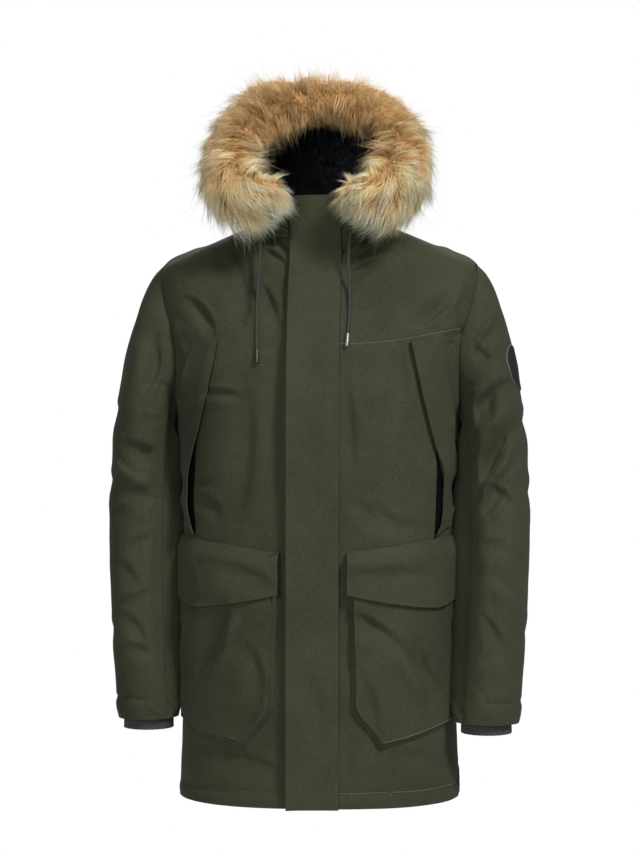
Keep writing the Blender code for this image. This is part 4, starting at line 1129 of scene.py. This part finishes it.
for number in range(BATCHES):
    mine = batch == number
    verts, faces = hairs(roots[mine], middles[mine], tips[mine], thick[mine])
    mesh_piece("fur_hair_%d" % (number + 1), verts, faces, guard_hair,
               tones[mine].reshape(-1, 4))


# ------------------------ pile of the hood lining
# The lining's pile stands a centimetre high and clings together in small locks. It begins
# a little way in from the lining's edge.

pile_hair = hair_material("navy_black_pile", Roughness=0.5)

backing = sewn["hood_lining"]["piece"].data
backing_edge = near_tree(coordinates(backing)[sewn["hood_lining"]["rim"]])
BARE_EDGE = 0.014


def bears_pile(face):
    """Whether a face looks into the hood and lies well inside the lining's edge."""
    inward = hood_middle(None) - face.center
    return face.normal.dot(inward) > 0.2 * inward.length and backing_edge.find(face.center)[2] > BARE_EDGE


inner_faces = [face for face in backing.polygons if bears_pile(face)]
weights = np.array([face.area for face in inner_faces])
LOCKS, PILE_EACH, PILE_STEPS = 620, 7, 2
PILE_LONG = 0.011
spots = chance.choice(len(inner_faces), LOCKS, p=weights / weights.sum())
middle_of = np.array([tuple(inner_faces[k].center) for k in spots])
up_of = np.array([tuple(inner_faces[k].normal) for k in spots])
spread = chance.normal(0, 2.2 * MM, (LOCKS * PILE_EACH, 3))
starts = np.repeat(middle_of, PILE_EACH, axis=0) + spread
ups = np.repeat(up_of, PILE_EACH, axis=0)
sway = np.repeat(chance.normal(0, 0.004, (LOCKS, 3)), PILE_EACH, axis=0) - np.array((0, 0, 0.004))
ends_of = starts - spread * 0.6 + ups * PILE_LONG + sway
verts, faces = hairs(starts - ups * MM, starts + ups * PILE_LONG * 0.6, ends_of,
                     np.full(len(starts), 0.35 * MM), steps=PILE_STEPS)
# Random locks are painted a pale blue-grey as painted highlight, over the pile's own blue-black.
lock_painted_highlight = np.repeat(chance.uniform(0, 1, LOCKS) ** 2, PILE_EACH)[:, None]
pile_colour = np.array(linear("#0b0c10")) * (1 - lock_painted_highlight) + np.array(linear("#5b6579")) * lock_painted_highlight
mesh_piece("hood_pile", verts, faces, pile_hair,
           np.repeat(pile_colour, PILE_STEPS * 3 + 1, axis=0))


# ------------------------ drawcords
# Two braided polyester cords come out at the neck, under the fur, and hang free; each
# ends in a short metal tip crimped on.

cord_braid, tree, shader = material("grey_braided_cord", Roughness=0.8)
braid = in_space(tree, "TexWave", {"bands_direction": "DIAGONAL"},
                 Scale=WAVE_AT_SCALE_ONE / (1.6 * MM), Distortion=2.0, Detail=1.0)
patterned(tree, shader, braid, ("#232624", "#454944"), 0.7, 0.4 * MM)

# Both tips are one brushed nickel. The left keeps the metal's own grey; the right is given a dark grey as a
# painted dark reflection.
cord_metal_lit_and_shaded = {}
for side, grey in (("left", "#9aa19d"), ("right", "#4b4f4c")):
    cord_metal_lit_and_shaded[side], _, _ = material("brushed_nickel_tip_" + side, Base_Color=linear(grey),
                                      Metallic=0.8, Roughness=0.42)

CORD_WIDE = 0.004
CORDS = [
    ("left", 0.185, [(0.0520, -0.1130, 0.0420), (0.0508, -0.1175, 0.0050),
                     (0.0485, -0.1210, -0.0340), (0.0505, -0.1255, -0.0700),
                     (0.0510, -0.1358, -0.1050), (0.0490, -0.1475, -0.1390)],
     (0.0477, -0.1542, -0.1581)),
    ("right", 0.193, [(-0.0770, -0.1085, 0.0260), (-0.0785, -0.1130, -0.0020),
                      (-0.0805, -0.1175, -0.0340), (-0.0825, -0.1240, -0.0740),
                      (-0.0830, -0.1372, -0.1150), (-0.0815, -0.1503, -0.1620)],
     (-0.0808, -0.1557, -0.1816)),
]
TIP_WIDE = 0.0052
for side, length, route, tip_end in CORDS:
    data = bpy.data.curves.new("drawcord_" + side + "_braid", "CURVE")
    data.dimensions = "3D"
    data.bevel_depth = CORD_WIDE / 2
    data.bevel_resolution = 3
    data.use_fill_caps = True
    spots = [smooth_curve(route, t) for t in np.linspace(0, len(route) - 1, 26)]
    thread = data.splines.new("POLY")
    thread.points.add(len(spots) - 1)
    for point, spot in zip(thread.points, spots):
        point.co = (*spot, 1)
    data.materials.append(cord_braid)
    cord = in_scene("drawcord_" + side + "_braid", data)
    in_place_of("drawcord_" + side, cord)

    start, stop = Vector(spots[-1]), Vector(tip_end)
    bm = bmesh.new()
    bmesh.ops.create_cone(bm, cap_ends=True, segments=20, radius1=TIP_WIDE / 2,
                          radius2=TIP_WIDE / 2, depth=(stop - start).length)
    ends = [edge for edge in bm.edges if edge.calc_face_angle(0) > 1]
    bmesh.ops.bevel(bm, geom=ends, offset=0.6 * MM, offset_type="OFFSET", segments=2, profile=0.5,
                    affect="EDGES", material=-1)
    turn = (stop - start).to_track_quat("Z", "Y").to_matrix().to_4x4()
    turn.translation = (start + stop) / 2
    bm.transform(turn)
    mesh = bpy.data.meshes.new("cord_tip_" + side + "_metal")
    bm.to_mesh(mesh)
    bm.free()
    mesh.materials.append(cord_metal_lit_and_shaded[side])
    mesh.shade_smooth()
    mesh.set_sharp_from_angle(angle=math.radians(40))
    tip = in_scene("cord_tip_" + side + "_metal", mesh)
    in_place_of("cord_tip_" + side, tip)
    list(route[0])


# ------------------------ stitching
# Hems, yoke seams, flaps and pockets are topstitched in olive thread, 3.9 mm from stitch to
# stitch. Four rows on the left are in a paler thread. The stitches are drawn somewhat thick.

pale_thread, _, _ = material("pale_olive_thread", Base_Color=linear("#868b77"), Roughness=0.7)
olive_thread, _, _ = material("olive_thread", Base_Color=linear("#4b503d"), Roughness=0.7)

STITCH_PITCH = 3.9 * MM
STITCH_LONG = 3.1 * MM
STITCH_WIDE = 0.75 * MM
STITCH_HIGH = 0.35 * MM
STITCHED = each([
    # pieces, thread, how far in from the edge in mm, and which edge: the way in from it
    ("yoke_left", pale_thread, (2.5,), lambda way, spot: way.z > 0.7),
    ("yoke_right", olive_thread, (2.5,), lambda way, spot: way.z > 0.7),
    ("pocket_flap_left", pale_thread, (2.0,), lambda way, spot: way.z < -0.7),
    ("pocket_flap_right", olive_thread, (2.0,), lambda way, spot: way.z < -0.7),
    ("pocket_bag_left", pale_thread, (2.0,), lambda way, spot: way.z > 0.9),
    ("front_left", pale_thread, (22.0,), lambda way, spot: way.z > 0.8 and spot.z < -0.7),
    ("front_right back", olive_thread, (22.0,), lambda way, spot: way.z > 0.8 and spot.z < -0.7),
    ("sleeve_top_left sleeve_top_right sleeve_under_left sleeve_under_right", olive_thread, (31.0,),
     lambda way, spot: way.z > 0.8 and spot.z < -0.6),
    ("sleeve_top_left sleeve_top_right", olive_thread, (2.2,),
     lambda way, spot: abs(way.z) < 0.5 and spot.z < -0.22),
    ("storm_flap", olive_thread, (3.0, 8.0), lambda way, spot: way.x < -0.7),
    ("chest_welt_left", olive_thread, (2.0,), lambda way, spot: way.x < -0.6),
    ("chest_welt_right", olive_thread, (2.0,), lambda way, spot: way.x > 0.6),
    ("pocket_flap_left pocket_flap_right", olive_thread, (2.0,), lambda way, spot: way.z > -0.7),
    ("pocket_bag_left", olive_thread, (2.2,), lambda way, spot: way.z < 0.9),
    ("pocket_bag_right", olive_thread, (2.2,), lambda way, spot: True),
    ("stand_collar", olive_thread, (2.0,), lambda way, spot: way.z > 0.5),
    ("collar_tab", olive_thread, (2.0,), lambda way, spot: True),
    ("hood_left hood_right", olive_thread, (2.5,),
     lambda way, spot: spot.y > 0.0 and abs(way.x) > 0.6),
])


def stitch_line(cut, inset, wanted):
    """Where the stitches lie: middle, way along and way up of each."""
    mesh = cut["piece"].data
    points = coordinates(mesh)
    rim_of = near_tree(points[cut["rim"]])
    surface = surface_of(mesh)
    beside = {}
    for polygon in mesh.polygons:
        if cut["skin"][polygon.index]:
            for key in polygon.edge_keys:
                beside.setdefault(key, []).append(polygon.center.copy())
    joins = {}
    for a, b in cut["rim_edges"]:
        joins.setdefault(a, []).append(b)
        joins.setdefault(b, []).append(a)
    left = {tuple(sorted(edge)) for edge in cut["rim_edges"].tolist()}
    while left:
        a, b = left.pop()
        chain = [a, b]
        while True:
            after = [n for n in joins[chain[-1]] if tuple(sorted((chain[-1], n))) in left]
            if not after:
                break
            left.discard(tuple(sorted((chain[-1], after[0]))))
            chain.append(after[0])
        to_next = 0.0
        for a, b in zip(chain, chain[1:]):
            start, stop = Vector(points[a]), Vector(points[b])
            span = (stop - start).length
            if span < 1e-7:
                continue
            way = (stop - start) / span
            middle = beside[tuple(sorted((a, b)))][0]
            inward = middle - (start + stop) / 2
            inward = (inward - way * inward.dot(way)).normalized()
            while to_next < span:
                spot = start + way * to_next + inward * inset * MM
                to_next += STITCH_PITCH
                if not wanted(inward, spot):
                    continue
                place, up, _, _ = surface.find_nearest(spot)
                if rim_of.find(place)[2] > 0.75 * min(inset, 2.5) * MM:
                    yield place, way, up
            to_next -= span


def sew_stitches(name, lines, thread):
    """One mesh of small rounded stitches along the lines."""
    verts, faces = [], []
    for place, way, up in lines:
        way = (way - up * way.dot(up)).normalized()
        side = up.cross(way)
        base = len(verts)
        verts.append(place - way * STITCH_LONG / 2)
        for share in (-0.28, 0.28):
            for turn in (0, 90, 180, 270):
                turn = math.radians(turn)
                verts.append(place + way * STITCH_LONG * share
                             + side * math.cos(turn) * STITCH_WIDE / 2
                             + up * (math.sin(turn) * STITCH_HIGH + 0.15 * MM))
        verts.append(place + way * STITCH_LONG / 2)
        for k in range(4):
            n = (k + 1) % 4
            faces.append((base, base + 1 + n, base + 1 + k))
            faces.append((base + 1 + k, base + 1 + n, base + 5 + n))
            faces.append((base + 1 + k, base + 5 + n, base + 5 + k))
            faces.append((base + 9, base + 5 + k, base + 5 + n))
    return mesh_piece(name, np.array([tuple(v) for v in verts]), np.array(faces), thread)


for title, thread in (("pale_topstitching", pale_thread), ("olive_topstitching", olive_thread)):
    sew_stitches(title, [stitch for name, used, insets, wanted in STITCHED if used is thread
                         for inset in insets
                         for stitch in stitch_line(sewn[name], inset, wanted)], thread)


# ------------------------ sleeve badge
# A round black twill patch with a merrowed grey edge is sewn to the left sleeve. Its face
# is bare but for a plain stitched ring.

twill, tree, shader = material("black_twill_patch", Roughness=0.75)
lines_of = in_space(tree, "TexWave", {"bands_direction": "DIAGONAL"},
                    Scale=WAVE_AT_SCALE_ONE / (1.2 * MM))
tree.links.new(two_tones(tree, lines_of, ("#0c0e11", "#1c1f24")), shader.inputs["Base Color"])
merrow, _, _ = material("grey_merrow_thread", Base_Color=linear("#4c504d"), Roughness=0.7)

BADGE_PLACE = Vector((0.2915, -0.0440, -0.1850))
BADGE_OUT = Vector((0.955, -0.215, 0.200)).normalized()
BADGE_ACROSS = Vector((-0.2125, -0.9018, -0.3764)).normalized()
BADGE_UP = BADGE_OUT.cross(BADGE_ACROSS)
BADGE_RADIUS = 0.035
BADGE_SIDES = 72
PROFILE = [
    # share of the radius, height over the sleeve in mm, grey or black from here outwards
    (0.0, 1.3, 0), (0.30, 1.3, 0), (0.55, 1.3, 0), (0.72, 1.3, 0), (0.745, 1.8, 0), (0.77, 1.3, 0),
    (0.92, 1.3, 1), (0.94, 2.0, 1), (0.965, 2.3, 1), (0.99, 1.8, 1), (1.0, 0.8, 1), (0.985, -0.6, 1),
]
ground = surface_of(sewn["sleeve_top_left"]["piece"].data)


def on_sleeve(share, turn, height):
    spot = BADGE_PLACE + BADGE_RADIUS * share * (math.cos(turn) * BADGE_ACROSS + math.sin(turn) * BADGE_UP)
    hit = ground.ray_cast(spot + BADGE_OUT * 0.05, -BADGE_OUT)[0]
    return tuple(hit + BADGE_OUT * height * MM)


verts = [on_sleeve(0, 0, PROFILE[0][1])]
faces, greys = [], []
for share, height, _ in PROFILE[1:]:
    for side in range(BADGE_SIDES):
        verts.append(on_sleeve(share, side * math.tau / BADGE_SIDES, height))
for side in range(BADGE_SIDES):
    after = (side + 1) % BADGE_SIDES
    faces.append((0, 1 + side, 1 + after))
    greys.append(0)
    for ring in range(len(PROFILE) - 2):
        low, high = 1 + ring * BADGE_SIDES, 1 + (ring + 1) * BADGE_SIDES
        faces.append((low + side, high + side, high + after, low + after))
        greys.append(PROFILE[ring + 1][2])
faces.append(tuple(1 + (len(PROFILE) - 2) * BADGE_SIDES + side for side in reversed(range(BADGE_SIDES))))
greys.append(0)
badge = mesh_piece("sleeve_badge", np.array(verts), faces, twill)
badge.data.materials.append(merrow)
badge.data.polygons.foreach_set("material_index", np.array(greys, dtype=np.int32))
face_outward(badge)
